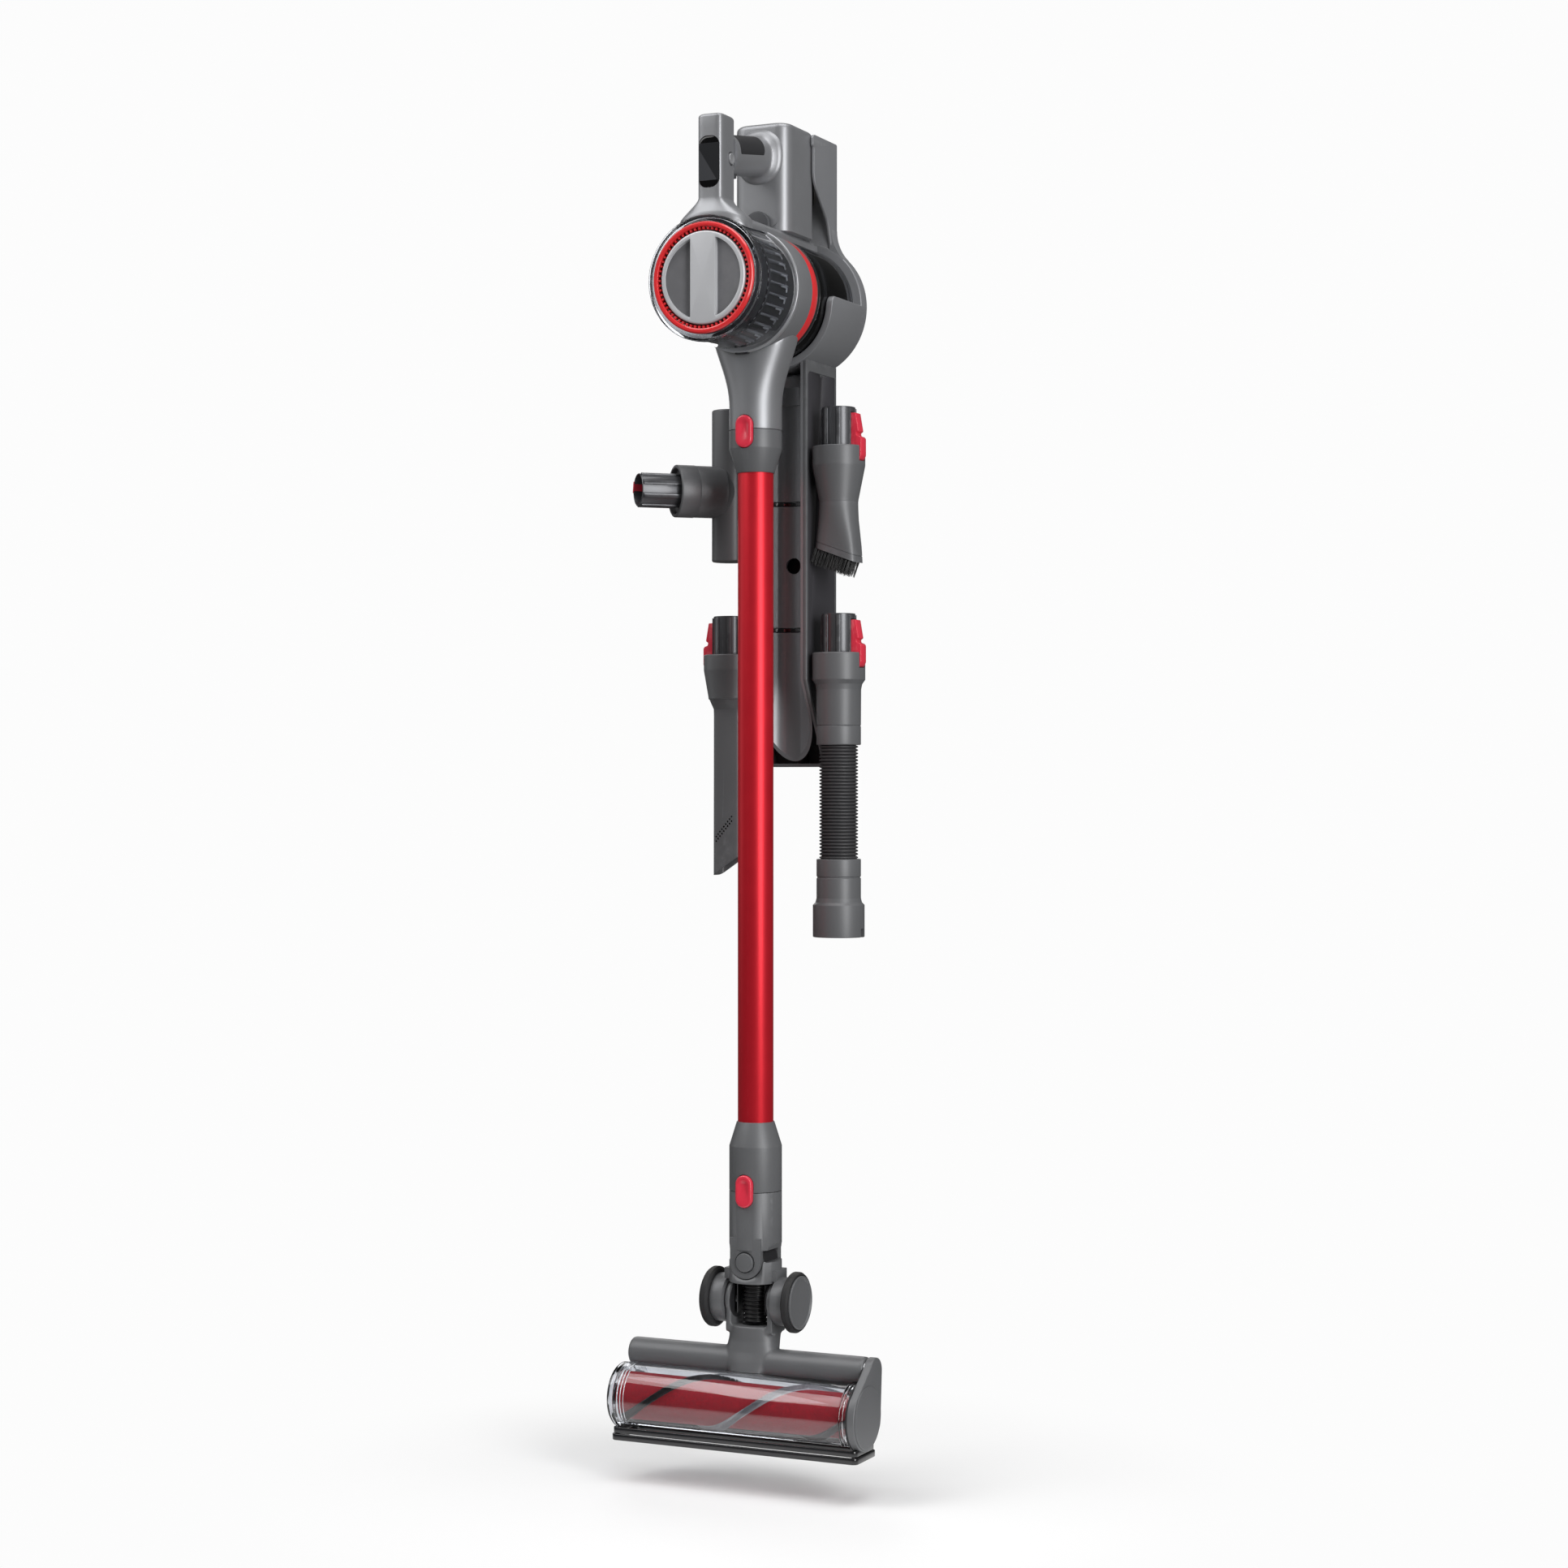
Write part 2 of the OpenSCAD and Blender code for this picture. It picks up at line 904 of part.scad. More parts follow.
module neck_sleeve() {
    color(mid_grey)
        difference() {
            union() {
                at_wand()
                    translate([0, 0, sleeve_end])
                        cylinder(r = collar_r, h = sleeve_h);
                for (side = [-1, 1])
                    translate([0, wand_y + side * (boss_y + gap + tongue_t / 2), swivel_z])
                        rotate([90, 0, 0])
                            linear_extrude(tongue_t, center = true)
                                tongue(boss_r);
            }
            at_wand()
                translate([0, 0, sleeve_end - 1])
                    cylinder(r = wand_bore, h = sleeve_h + 2);
            translate([0, wand_y, swivel_z])
                along_y(-far, far, pin_r);
            translate([0, wand_y, swivel_z])
                along_y(-boss_y - gap, boss_y + gap, boss_r + 1);
            both_sides()
                translate([collar_r + 1, wand_y, sleeve_end])
                    along_y(-far, far, 6);
            button_pocket(head_button_z);
        }
}

module swivel_pins() {
    color(dark_grey)
        for (side = [-1, 1])
            translate([0, wand_y, swivel_z])
                rotate([0, 0, side < 0 ? 0 : 180]) {
                    along_y(-collar_r + 1.5, -11, pin_r);
                    along_y(-collar_r - 0.5, -collar_r + 1.5, 8.5);
                }
}

// Outline of the sleeve's tongue seen from the front, r wide each way
module tongue(r) {
    circle(r = r);
    translate([-r, 0])
        square([2 * r, 2 * swivel_drop]);
}

// Room for the tongues over the whole side swivel
module tongue_room() {
    translate([0, wand_y, swivel_z])
        rotate([90, 0, 0])
            linear_extrude(far, center = true)
                for (turn = [-1, 0, 1])
                    rotate(turn * swivel_max)
                        tongue(boss_r + gap);
}

module yoke() {
    color(mid_grey)
        difference() {
            union() {
                difference() {
                    translate([0, wand_y, axle_z + barrel_low])
                        cylinder(r = collar_r, h = axle_drop + 1 - barrel_low);
                    difference() {
                        tongue_room();
                        box([-far, wand_y - boss_y, swivel_z - far], [far, wand_y + boss_y, far]);
                    }
                    box([-far, wand_y - boss_y - 1, swivel_z], [far, wand_y + boss_y + 1, far]);
                }
                translate([0, wand_y, swivel_z])
                    along_y(-boss_y, boss_y, boss_r);
                at_axle()
                    both_sides() {
                        along_x(boss_in, boss_out, hub_boss_r);
                        box([boss_r, -11, barrel_low + 2], [boss_in + 2, 11, barrel_low + 12]);
                    }
            }
            at_axle()
                along_x(-boss_in, boss_in, arm_r + 1);
            at_axle()
                along_x(-far, far, axle_r);
            translate([0, wand_y, swivel_z])
                along_y(-far, far, pin_r + run);
            at_wand()
                translate([0, 0, axle_z])
                    cylinder(r = duct_r, h = far);
        }
}

module neck_hose() {
    color(black)
        translate([0, wand_y, axle_z - 20]) {
            ring_z(0, 46, duct_r, duct_r - 2);
            for (k = [0 : 8])
                ring_z(2 + 4 * k, 4 + 4 * k, duct_r + 1, duct_r - 2);
        }
}

module wheel_axles() {
    color(steel)
        at_axle()
            both_sides()
                along_x(arm_in - 1, wheel_x + wheel_w - 1.5, axle_r);
}

module wheel(side) {
    at_axle()
        mirror([side < 0 ? 1 : 0, 0, 0]) {
            difference() {
                union() {
                    color(black)
                        along_x(wheel_x, wheel_x + wheel_w - 1.5, wheel_r);
                    color(mid_grey)
                        along_x(wheel_x, wheel_x + wheel_w, wheel_r - 2.5);
                }
                along_x(0, wheel_x + wheel_w - 1, axle_r + run);
            }
        }
}

module wheel_left() {
    wheel(-1);
}

module wheel_right() {
    wheel(1);
}

module head_shell() {
    color(mid_grey)
        difference() {
            union() {
                at_axle()
                    both_sides() {
                        along_x(arm_in, arm_out - 0.5, arm_r);
                        box([arm_in, -15, -26], [arm_out - 0.5, 15, 0]);
                    }
                hull() {
                    translate([0, wand_y, axle_z - 27])
                        cylinder(r = collar_r - 0.5, h = 5, $fn = 48);
                    translate([0, back_y, back_z])
                        along_x(-arm_out - 4, arm_out + 4, back_r, $fn = 32);
                }
                translate([0, back_y, back_z])
                    along_x(-half_head + 3, cap_x, back_r);
                hull() {
                    translate([0, back_y, back_z])
                        along_x(-16, 16, back_r - 2, $fn = 32);
                    translate([0, roller_y + 6, roller_z + cover_r - 5])
                        along_x(-13, 13, 5, $fn = 32);
                }
                at_roller()
                    along_x(-half_head + 1, -half_head + 8, cover_r);
                box([-half_head + 3, roller_y, back_z - 12], [-half_head + 8, back_y, back_z]);
            }
            at_axle()
                along_x(-far, far, axle_r + run);
            at_wand()
                translate([0, 0, axle_z - 30])
                    cylinder(r = 12, h = 60);
            translate([0, back_y, back_z])
                along_x(40, far, back_r - 2);
            at_roller()
                along_x(-half_head + 8, far, cover_r);
            at_roller()
                along_x(-half_head + 5, far, 5 + run);
        }
}

module roller_cover() {
    color(clear)
        at_roller()
            difference() {
                along_x(-half_head + 8, cap_x, cover_r);
                along_x(-far, far, cover_r - cover_t);
                box([-far, -far, -far], [far, far, -skirt_top]);
            }
}

module belt_cap() {
    color(mid_grey)
        difference() {
            union() {
                at_roller()
                    along_x(cap_x, half_head, cover_r);
                hull() {
                    at_roller()
                        translate([0, 15, -6])
                            along_x(cap_x, half_head, 15, $fn = 32);
                    translate([0, back_y, back_z])
                        along_x(cap_x, half_head, back_r, $fn = 32);
                }
            }
            hull() {
                at_roller()
                    along_x(cap_x - 1, half_head - 3, 11, $fn = 32);
                translate([0, back_y, back_z])
                    along_x(cap_x - 1, half_head - 3, 8, $fn = 32);
            }
        }
    color(steel)
        at_roller()
            along_x(cap_x + 1, half_head - 3, pin_r);
}

// a row of square bristle tufts that winds once round the roller
module bristle_strip() {
    for (k = [0 : tufts - 1]) {
        share = k / (tufts - 1);
        translate([felt_x0 + 5 + share * (felt_x1 - felt_x0 - 10), 0, 0])
            rotate([tuft_first - share * tuft_turn, 0, 0])
                box([-2.75, -tuft_w / 2, felt_r - 1.5], [2.75, tuft_w / 2, tuft_r]);
    }
}

module roller() {
    color(red)
        at_roller()
            difference() {
                union() {
                    along_x(felt_x0, felt_x1, felt_r);
                    along_x(-half_head + 5.5, felt_x0, 5);
                    along_x(felt_x1, half_head - 4, 9);
                    for (a = [0, 180])
                        rotate([a, 0, 0])
                            bristle_strip();
                }
                along_x(cap_x + 0.5, half_head, pin_r + run);
                ring_x(felt_x0 - 1, cap_x - 8, core_r, 7);
            }
}

module head_motor() {
    color(dark_grey)
        translate([0, back_y, back_z]) {
            along_x(50, cap_x, back_r - 2);
            along_x(cap_x, half_head - 4, 3);
        }
}

module drive_belt() {
    color(black)
        difference() {
            hull() {
                at_roller()
                    along_x(cap_x + 1, half_head - 4, 10.8, $fn = 32);
                translate([0, back_y, back_z])
                    along_x(cap_x + 1, half_head - 4, 4.6, $fn = 32);
            }
            hull() {
                at_roller()
                    along_x(cap_x, half_head - 3, 9 + gap, $fn = 32);
                translate([0, back_y, back_z])
                    along_x(cap_x, half_head - 3, 3 + gap, $fn = 32);
            }
        }
}

module sole_skirt() {
    color(black)
        difference() {
            box([-half_head + 2, roller_y - skirt_y, skirt_z],
                [half_head - 2, roller_y + skirt_y, roller_z - skirt_top]);
            at_roller()
                for (end = [-1, 1])
                    mirror([end < 0 ? 1 : 0, 0, 0])
                        along_x(end < 0 ? half_head - 8 : cap_x, far, cover_r);
            box([-half_head + 8, roller_y - skirt_y + 3, skirt_z - 1],
                [cap_x, roller_y + skirt_y - 3, roller_z]);
        }
}

// ---- stored tools ----

module at_tool(side) {
    translate([side * tool_x, tool_y, 0])
        children();
}

// The slot in a tool's back that drops over its hook
module hook_slot(side, top) {
    translate([side * tool_x, 0, 0])
        box([-6.5, hook_y, top - slot_h], [6.5, hook_y + 60, top]);
}

module spigot(top) {
    ring_z(top - spigot_h, top, spigot_r, tool_bore);
}

// Space for a tool's latch, on the side away from the dock
module latch_pocket(side, top) {
    mirror([side < 0 ? 1 : 0, 0, 0])
        translate([tool_x, tool_y, top - spigot_h])
            box([spigot_r - 5.2, -6 - gap, -14 - gap], [far, 6 + gap, spigot_h - 5]);
}

module latch_piece(side, top) {
    mirror([side < 0 ? 1 : 0, 0, 0])
        translate([tool_x, tool_y, top - spigot_h]) {
            box([spigot_r - 2.6, -6, -14], [spigot_r + 2, 6, spigot_h - 5 - gap]);
            box([spigot_r, -6, -14], [tool_r + 0.6, 6, 0]);
        }
}

module tool_collar(top, h, r_low) {
    difference() {
        union() {
            translate([0, 0, top - spigot_h - h / 3])
                cylinder(r = tool_r, h = h / 3);
            translate([0, 0, top - spigot_h - h])
                cylinder(r1 = r_low, r2 = tool_r, h = 2 * h / 3);
        }
        translate([0, 0, top - spigot_h - h - 1])
            cylinder(r = tool_bore, h = h + 2);
    }
}

// Everything below a plane that leans by lean degrees and crosses the axis at z
module below(z, lean) {
    translate([0, 0, z])
        rotate([0, lean, 0])
            box([-far, -far, -far], [far, far, 0]);
}

module dusting_brush() {
    color(mid_grey)
        difference() {
            at_tool(1) {
                spigot(brush_top);
                tool_collar(brush_top, brush_collar_h, brush_neck_r);
                difference() {
                    hull() {
                        translate([0, 0, brush_waist - 1])
                            cylinder(r = brush_neck_r, h = 1, $fn = 32);
                        translate([0, 0, brush_lip - 10])
                            linear_extrude(1)
                                round_rect(brush_w, brush_d, 8, $fn = 32);
                    }
                    translate([0, 0, brush_lip - 20])
                        linear_extrude(70)
                            round_rect(brush_w - 14, brush_d - 8, 6);
                    below(brush_lip, brush_lean);
                }
            }
            hook_slot(1, brush_slot);
            latch_pocket(1, brush_top);
        }
}

module dusting_bristles() {
    color(black)
        at_tool(1)
            difference() {
                translate([0, 0, brush_lip - 30])
                    linear_extrude(60)
                        difference() {
                            round_rect(brush_w - 3, brush_d - 2, 7);
                            round_rect(brush_w - 13, brush_d - 7, 6);
                        }
                translate([0, 0, brush_lip])
                    rotate([0, brush_lean, 0])
                        box([-far, -far, 0], [far, far, far]);
                below(brush_lip - bristle_len, brush_lean);
            }
}

module crevice_tool() {
    blade_w = 28;
    blade_d = 20;
    taper = 51;
    tip = 156;
    color(mid_grey)
        difference() {
            at_tool(-1) {
                spigot(lower_top);
                tool_collar(lower_top, collar_h, 20);
                difference() {
                    union() {
                        hull() {
                            translate([0, 0, lower_z - collar_h - 1])
                                cylinder(r = 19, h = 1, $fn = 32);
                            translate([0, 0, lower_z - taper])
                                linear_extrude(1)
                                    round_rect(blade_w, blade_d, 5, $fn = 32);
                        }
                        translate([0, 0, lower_z - taper - tip])
                            linear_extrude(tip)
                                round_rect(blade_w, blade_d, 5);
                    }
                    translate([0, 0, lower_z - taper - tip - 1])
                        linear_extrude(tip + 20)
                            round_rect(blade_w - 5, blade_d - 5, 3);
                    below(lower_z - taper - tip + 10, -34);
                }
            }
            hook_slot(-1, lower_slot);
            latch_pocket(-1, lower_top);
        }
}

module hose_collar() {
    color(mid_grey)
        difference() {
            at_tool(1) {
                spigot(lower_top);
                tool_collar(lower_top, collar_h, cuff_r);
                ring_z(bellows_top, lower_z - collar_h, cuff_r, tool_bore);
            }
            hook_slot(1, lower_slot);
            latch_pocket(1, lower_top);
        }
}

module hose_bellows() {
    color(black)
        at_tool(1)
            ring_z(bellows_end, bellows_top, bellows_r, bellows_r - 3);
}

module hose_socket() {
    low = bellows_end - socket_len;
    color(mid_grey)
        at_tool(1)
            difference() {
                union() {
                    ring_z(low + 30, bellows_end, cuff_r, tool_bore);
                    ring_z(low, low + 30, 24, spigot_r);
                }
                translate([20, -3, low - 1])
                    cube([10, 6, 9]);
            }
}

module mini_neck(r, from, to) {
    translate([-tool_x, tool_y, mini_z])
        rotate([0, 0, -45])
            along_y(-to, -from, r);
}

module mini_brush_body() {
    slot_z = mini_slot;
    color(mid_grey)
        difference() {
            union() {
                at_tool(-1)
                    translate([0, 0, mini_lo])
                        cylinder(r = mini_r, h = mini_hi - mini_lo);
                translate([-tool_x, 0, 0])
                    box([-9, tool_y, slot_z - 40], [9, tool_y + tool_r, slot_z + 5]);
                mini_neck(20, 0, 38);
                mini_neck(tool_r, 36, mini_reach - spigot_h);
                mini_neck(spigot_r, 50, mini_reach);
            }
            at_tool(-1)
                translate([0, 0, mini_lo + 4])
                    cylinder(r = mini_r - 2, h = mini_hi - mini_lo - 8);
            translate([-tool_x + 8, tool_y - 9, mini_lo + 8])
                cube([12, 18, mini_hi - mini_lo - 16]);
            mini_neck(tool_bore, 12, mini_reach + 1);
            at_tool(-1)
                translate([0, 0, mini_lo + 1])
                    cylinder(r = 3 + run, h = mini_hi - mini_lo - 2);
            hook_slot(-1, slot_z);
        }
}

module mini_brush_roller() {
    color(red)
        at_tool(-1) {
            translate([0, 0, mini_lo + 4.5])
                cylinder(r = mini_r - 3, h = mini_hi - mini_lo - 9);
            translate([0, 0, mini_lo + 1.5])
                cylinder(r = 3, h = mini_hi - mini_lo - 3);
        }
}

module crevice_latch() {
    color(coral)
        latch_piece(-1, lower_top);
}

module brush_latch() {
    color(coral)
        latch_piece(1, brush_top);
}

module hose_latch() {
    color(coral)
        latch_piece(1, lower_top);
}

dock_column();
dock_trough();
dock_back_plate();
dock_cradle();
dock_board();
dock_contacts();
power_inlet();
tool_hooks();
main_housing();
handle_post();
grip();
grip_rubber();
screen();
battery_case();
battery_cells();
motor();
impeller();
dust_cup();
seam_ring();
red_band();
rear_cover();
cyclone_core();
exhaust_filter();
red_ring();
front_knob();
front_filter();
inlet_cone();
trigger();
lock_button();
battery_tab();
wand_button();
upper_collar();
wand_tube();
lower_collar();
head_button();
neck_sleeve();
swivel_pins();
yoke();
neck_hose();
wheel_axles();
wheel_left();
wheel_right();
head_shell();
roller_cover();
belt_cap();
roller();
head_motor();
drive_belt();
sole_skirt();
mini_brush_body();
mini_brush_roller();
crevice_tool();
dusting_brush();
dusting_bristles();
hose_collar();
hose_bellows();
hose_socket();
crevice_latch();
brush_latch();
hose_latch();
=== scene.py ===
# Cordless stick vacuum hanging on its wall dock: finishes and finely modelled
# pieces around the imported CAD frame. Metres, +Z up, the front faces -Y.
import bmesh
import bpy
from math import asin, atan2, copysign, cos, pi, radians, sin, sqrt, tan, tau
from mathutils import Matrix, Vector


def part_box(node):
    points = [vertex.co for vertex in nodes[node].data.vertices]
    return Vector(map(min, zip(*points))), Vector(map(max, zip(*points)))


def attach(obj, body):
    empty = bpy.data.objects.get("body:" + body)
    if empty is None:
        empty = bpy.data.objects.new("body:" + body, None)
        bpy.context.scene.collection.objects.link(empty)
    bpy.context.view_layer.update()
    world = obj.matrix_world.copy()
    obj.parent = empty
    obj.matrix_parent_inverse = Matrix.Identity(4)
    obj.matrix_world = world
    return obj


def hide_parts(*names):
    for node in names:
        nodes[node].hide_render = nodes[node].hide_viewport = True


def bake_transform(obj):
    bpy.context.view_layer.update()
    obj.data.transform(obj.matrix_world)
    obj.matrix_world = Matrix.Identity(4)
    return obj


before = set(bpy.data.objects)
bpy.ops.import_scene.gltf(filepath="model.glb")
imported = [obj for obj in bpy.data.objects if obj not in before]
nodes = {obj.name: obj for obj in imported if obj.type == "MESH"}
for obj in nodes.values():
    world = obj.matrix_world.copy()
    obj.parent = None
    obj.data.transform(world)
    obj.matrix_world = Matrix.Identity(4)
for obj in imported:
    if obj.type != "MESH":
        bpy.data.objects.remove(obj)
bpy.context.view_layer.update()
mm = 0.001

print("camera")
view = {"place": (1.1973, -2.5712, -0.372), "turn": 25.4, "lens": 68.9, "sensor": 36}


def addCamera():
    data = bpy.data.cameras.new("camera")
    data.lens = view["lens"]
    data.sensor_width = view["sensor"]
    camera = bpy.data.objects.new("camera", data)
    camera.location = view["place"]
    camera.rotation_euler = (radians(90), 0, radians(view["turn"]))
    bpy.context.scene.collection.objects.link(camera)
    bpy.context.scene.camera = camera


addCamera()
bpy.context.scene.view_settings.view_transform = "Standard"

# places taken from the frame
boxes = {name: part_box(name) for name in nodes}


def low(node, axis):
    return boxes[node][0][axis]


def high(node, axis):
    return boxes[node][1][axis]


def endsOf(node, axis):
    return low(node, axis), high(node, axis)


def middle(node, axis):
    return (low(node, axis) + high(node, axis)) / 2


def halfSize(node, axis):
    return (high(node, axis) - low(node, axis)) / 2


cupZ = middle("red_ring", 2)
cupR = halfSize("dust_cup", 0)
wandY = middle("wand_tube", 1)
tubeR = halfSize("wand_tube", 0)
collarR = halfSize("neck_sleeve", 0)
axleZ = middle("wheel_axles", 2)
rollerY = middle("roller", 1)
rollerZ = middle("roller", 2)
toolY = middle("hose_bellows", 1)
toolX = middle("hose_bellows", 0)


def addPiece(name, points, faces):
    mesh = bpy.data.meshes.new(name)
    mesh.from_pydata([tuple(p) for p in points], [], faces)
    mesh.update()
    piece = bpy.data.objects.new(name, mesh)
    bpy.context.scene.collection.objects.link(piece)
    return piece


def moveBy(piece, offset):
    piece.data.transform(Matrix.Translation(offset))
    return piece


def tidyMesh(piece, merge=1e-6):
    work = bmesh.new()
    work.from_mesh(piece.data)
    bmesh.ops.remove_doubles(work, verts=work.verts, dist=merge)
    bmesh.ops.dissolve_degenerate(work, edges=work.edges, dist=merge)
    bmesh.ops.recalc_face_normals(work, faces=work.faces)
    work.to_mesh(piece.data)
    work.free()
    return piece


def softShade(piece, angle=35):
    for face in piece.data.polygons:
        face.use_smooth = True
    piece.data.set_sharp_from_angle(angle=radians(angle))
    return piece


def applyModifiers(piece):
    bpy.context.view_layer.update()
    seen = piece.evaluated_get(bpy.context.evaluated_depsgraph_get())
    mesh = bpy.data.meshes.new_from_object(seen)
    piece.modifiers.clear()
    piece.data = mesh
    return piece


def softenEdges(piece, width, steps=3, angle=32):
    bevel = piece.modifiers.new("softEdges", "BEVEL")
    bevel.width = width
    bevel.segments = steps
    bevel.limit_method = "ANGLE"
    bevel.angle_limit = radians(angle)
    bevel.use_clamp_overlap = True
    applyModifiers(piece)
    return softShade(piece)


def combine(piece, others, how="DIFFERENCE"):
    for other in others:
        cut = piece.modifiers.new("cut", "BOOLEAN")
        cut.operation = how
        cut.solver = "EXACT"
        cut.object = other
        applyModifiers(piece)
        bpy.data.objects.remove(other)
    return tidyMesh(piece)


def joinPieces(name, pieces):
    work = bmesh.new()
    for piece in pieces:
        work.from_mesh(piece.data)
        bpy.data.objects.remove(piece)
    joined = addPiece(name, [], [])
    work.to_mesh(joined.data)
    work.free()
    return joined


def roundCorners(points, radii, steps=4, closed=True):
    # each corner of a flat outline becomes an arc; radii is one value or one for each corner
    count = len(points)
    radii = [radii] * count if isinstance(radii, (int, float)) else radii
    result = []
    for i, point in enumerate(points):
        here = Vector(point)
        if radii[i] <= 0 or (not closed and i in (0, count - 1)):
            result.append(here)
            continue
        before = Vector(points[i - 1]) - here
        after = Vector(points[(i + 1) % count]) - here
        half = before.angle(after) / 2
        if half > radians(89):
            result.append(here)
            continue
        reach = min(radii[i] / tan(half), before.length * 0.48, after.length * 0.48)
        radius = reach * tan(half)
        toCentre = (before.normalized() + after.normalized()).normalized()
        centre = here + toCentre * (radius / sin(half))
        start = here + before.normalized() * reach - centre
        end = here + after.normalized() * reach - centre
        sweep = start.angle_signed(end)
        for k in range(steps + 1):
            angle = -sweep * k / steps
            cosA, sinA = cos(angle), sin(angle)
            result.append(centre + Vector((start.x * cosA - start.y * sinA,
                start.x * sinA + start.y * cosA)))
    return result


def roundedBox(width, depth, radius, steps=6):
    w, d = width / 2, depth / 2
    corners = [(w, -d), (w, d), (-w, d), (-w, -d)]
    return roundCorners(corners, min(radius, w * 0.98, d * 0.98), steps)


def superOutline(halfWidth, halfDepth, power=2.0, count=64):
    # a rounded outline between an ellipse (2) and a box (8 and more)
    points = []
    for k in range(count):
        c, s = cos(tau * k / count), sin(tau * k / count)
        points.append(Vector((copysign(abs(c) ** (2 / power), c) * halfWidth,
            copysign(abs(s) ** (2 / power), s) * halfDepth)))
    return points


def ease(share):
    share = max(0.0, min(1.0, share))
    return share * share * (3 - 2 * share)


def between(first, second, share):
    return first + (second - first) * share


def turned(axis, along, radius, angle, centre):
    # a point at a radius and angle round an axis, along metres from the origin
    c, s = radius * cos(angle), radius * sin(angle)
    if axis == "X":
        return Vector((along, centre[0] + c, centre[1] + s))
    if axis == "Y":
        return Vector((centre[0] + c, along, centre[1] + s))
    return Vector((centre[0] + c, centre[1] + s, along))


def section(inner, outer, start, end):
    # the square section of a ring, for lathe
    return [(inner, start), (outer, start), (outer, end), (inner, end)]


def lathe(name, axis, centre, profile, around=96, soft=0.0004, steps=3, arc=None):
    # profile is a closed outline of (radius, along) pairs; arc is a part turn in degrees
    outline = roundCorners(profile, [0 if p[0] == 0 else soft for p in profile], steps)
    start, end = [radians(a) for a in (arc or (0, 360))]
    turns = around if arc is None else around + 1
    points, faces = [], []
    for k in range(turns):
        angle = start + (end - start) * k / around
        points += [turned(axis, p[1], p[0], angle, centre) for p in outline]
    size = len(outline)
    for k in range(around):
        for i in range(size):
            j = (i + 1) % size
            nextRing = ((k + 1) % turns) * size
            faces.append((k * size + i, k * size + j, nextRing + j, nextRing + i))
    if arc is not None:
        faces += [tuple(range(size)), tuple(around * size + i for i in reversed(range(size)))]
    return softShade(tidyMesh(addPiece(name, points, faces)))


def loft(name, rings, capped=True, shadeAngle=40):
    points = [p for ring in rings for p in ring]
    size = len(rings[0])
    faces = []
    for k in range(len(rings) - 1):
        for i in range(size):
            j = (i + 1) % size
            faces.append((k * size + i, k * size + j, (k + 1) * size + j, (k + 1) * size + i))
    if capped:
        last = (len(rings) - 1) * size
        faces += [tuple(reversed(range(size))), tuple(last + i for i in range(size))]
    return softShade(tidyMesh(addPiece(name, points, faces)), shadeAngle)


def placed(outline, plane, at, centre=(0, 0)):
    # a flat outline stood up in the plane XY, XZ or YZ
    place = {"XY": lambda u, v: Vector((u, v, at)), "XZ": lambda u, v: Vector((u, at, v)),
        "YZ": lambda u, v: Vector((at, u, v))}[plane]
    return [place(p[0] + centre[0], p[1] + centre[1]) for p in outline]


def slab(name, outline, plane, start, end, edge=0.0006, centre=(0, 0), steps=3):
    # an outline given thickness, its edges rounded
    piece = loft(name, [placed(outline, plane, start, centre),
        placed(outline, plane, end, centre)])
    return softenEdges(piece, edge, steps) if edge else piece


def stadium(width, height, steps=12):
    r = width / 2
    top = [(r * cos(a), height / 2 - r + r * sin(a)) for a in [pi * k / steps
        for k in range(steps + 1)]]
    return [Vector(p) for p in top + [(-x, -z) for x, z in top]]


def refined(node, edge=0.0005, name=None, dissolve=4):
    # a copy of a CAD node with merged corners and softened edges
    copy = addPiece(name or node + "_fine", [], [])
    copy.data = nodes[node].data.copy()
    copy.data.materials.clear()
    tidyMesh(copy, 2e-6)
    work = bmesh.new()
    work.from_mesh(copy.data)
    bmesh.ops.dissolve_limit(work, angle_limit=radians(dissolve), verts=work.verts,
        edges=work.edges)
    work.to_mesh(copy.data)
    work.free()
    return softenEdges(copy, edge, 2, 28)


def paint(piece, material):
    piece.data.materials.clear()
    piece.data.materials.append(material)


def settle(piece, body, material, *replaced, slotName=None):
    # the piece gets its finish, rides on its body and stands for its CAD nodes
    paint(piece, material)
    if replaced:
        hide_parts(*replaced)
    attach(piece, body)
    return piece

# shared effects, each a group of shader nodes
print("materials")


def tint(red, green, blue):
    # screen values of 0 to 255 made linear
    def linear(v):
        v /= 255
        return v / 12.92 if v <= 0.04045 else ((v + 0.055) / 1.055) ** 2.4
    return (linear(red), linear(green), linear(blue), 1)


def setSocket(tree, socket, value):
    # a plain value is written in, another socket is linked
    if isinstance(value, bpy.types.NodeSocket):
        tree.links.new(value, socket)
    else:
        socket.default_value = value


def addNode(tree, kind, values=None, **settings):
    node = tree.nodes.new(kind)
    for name, value in settings.items():
        setattr(node, name, value)
    for name, value in (values or {}).items():
        setSocket(tree, node.inputs[name], value)
    return node


def addMath(tree, operation, first, second=0.0, clamp=False):
    node = addNode(tree, "ShaderNodeMath", {0: first, 1: second}, operation=operation)
    node.use_clamp = clamp
    return node.outputs[0]


def plus(tree, first, second, clamp=False):
    return addMath(tree, "ADD", first, second, clamp)


def minus(tree, first, second):
    return addMath(tree, "SUBTRACT", first, second)


def times(tree, first, second, clamp=False):
    return addMath(tree, "MULTIPLY", first, second, clamp)


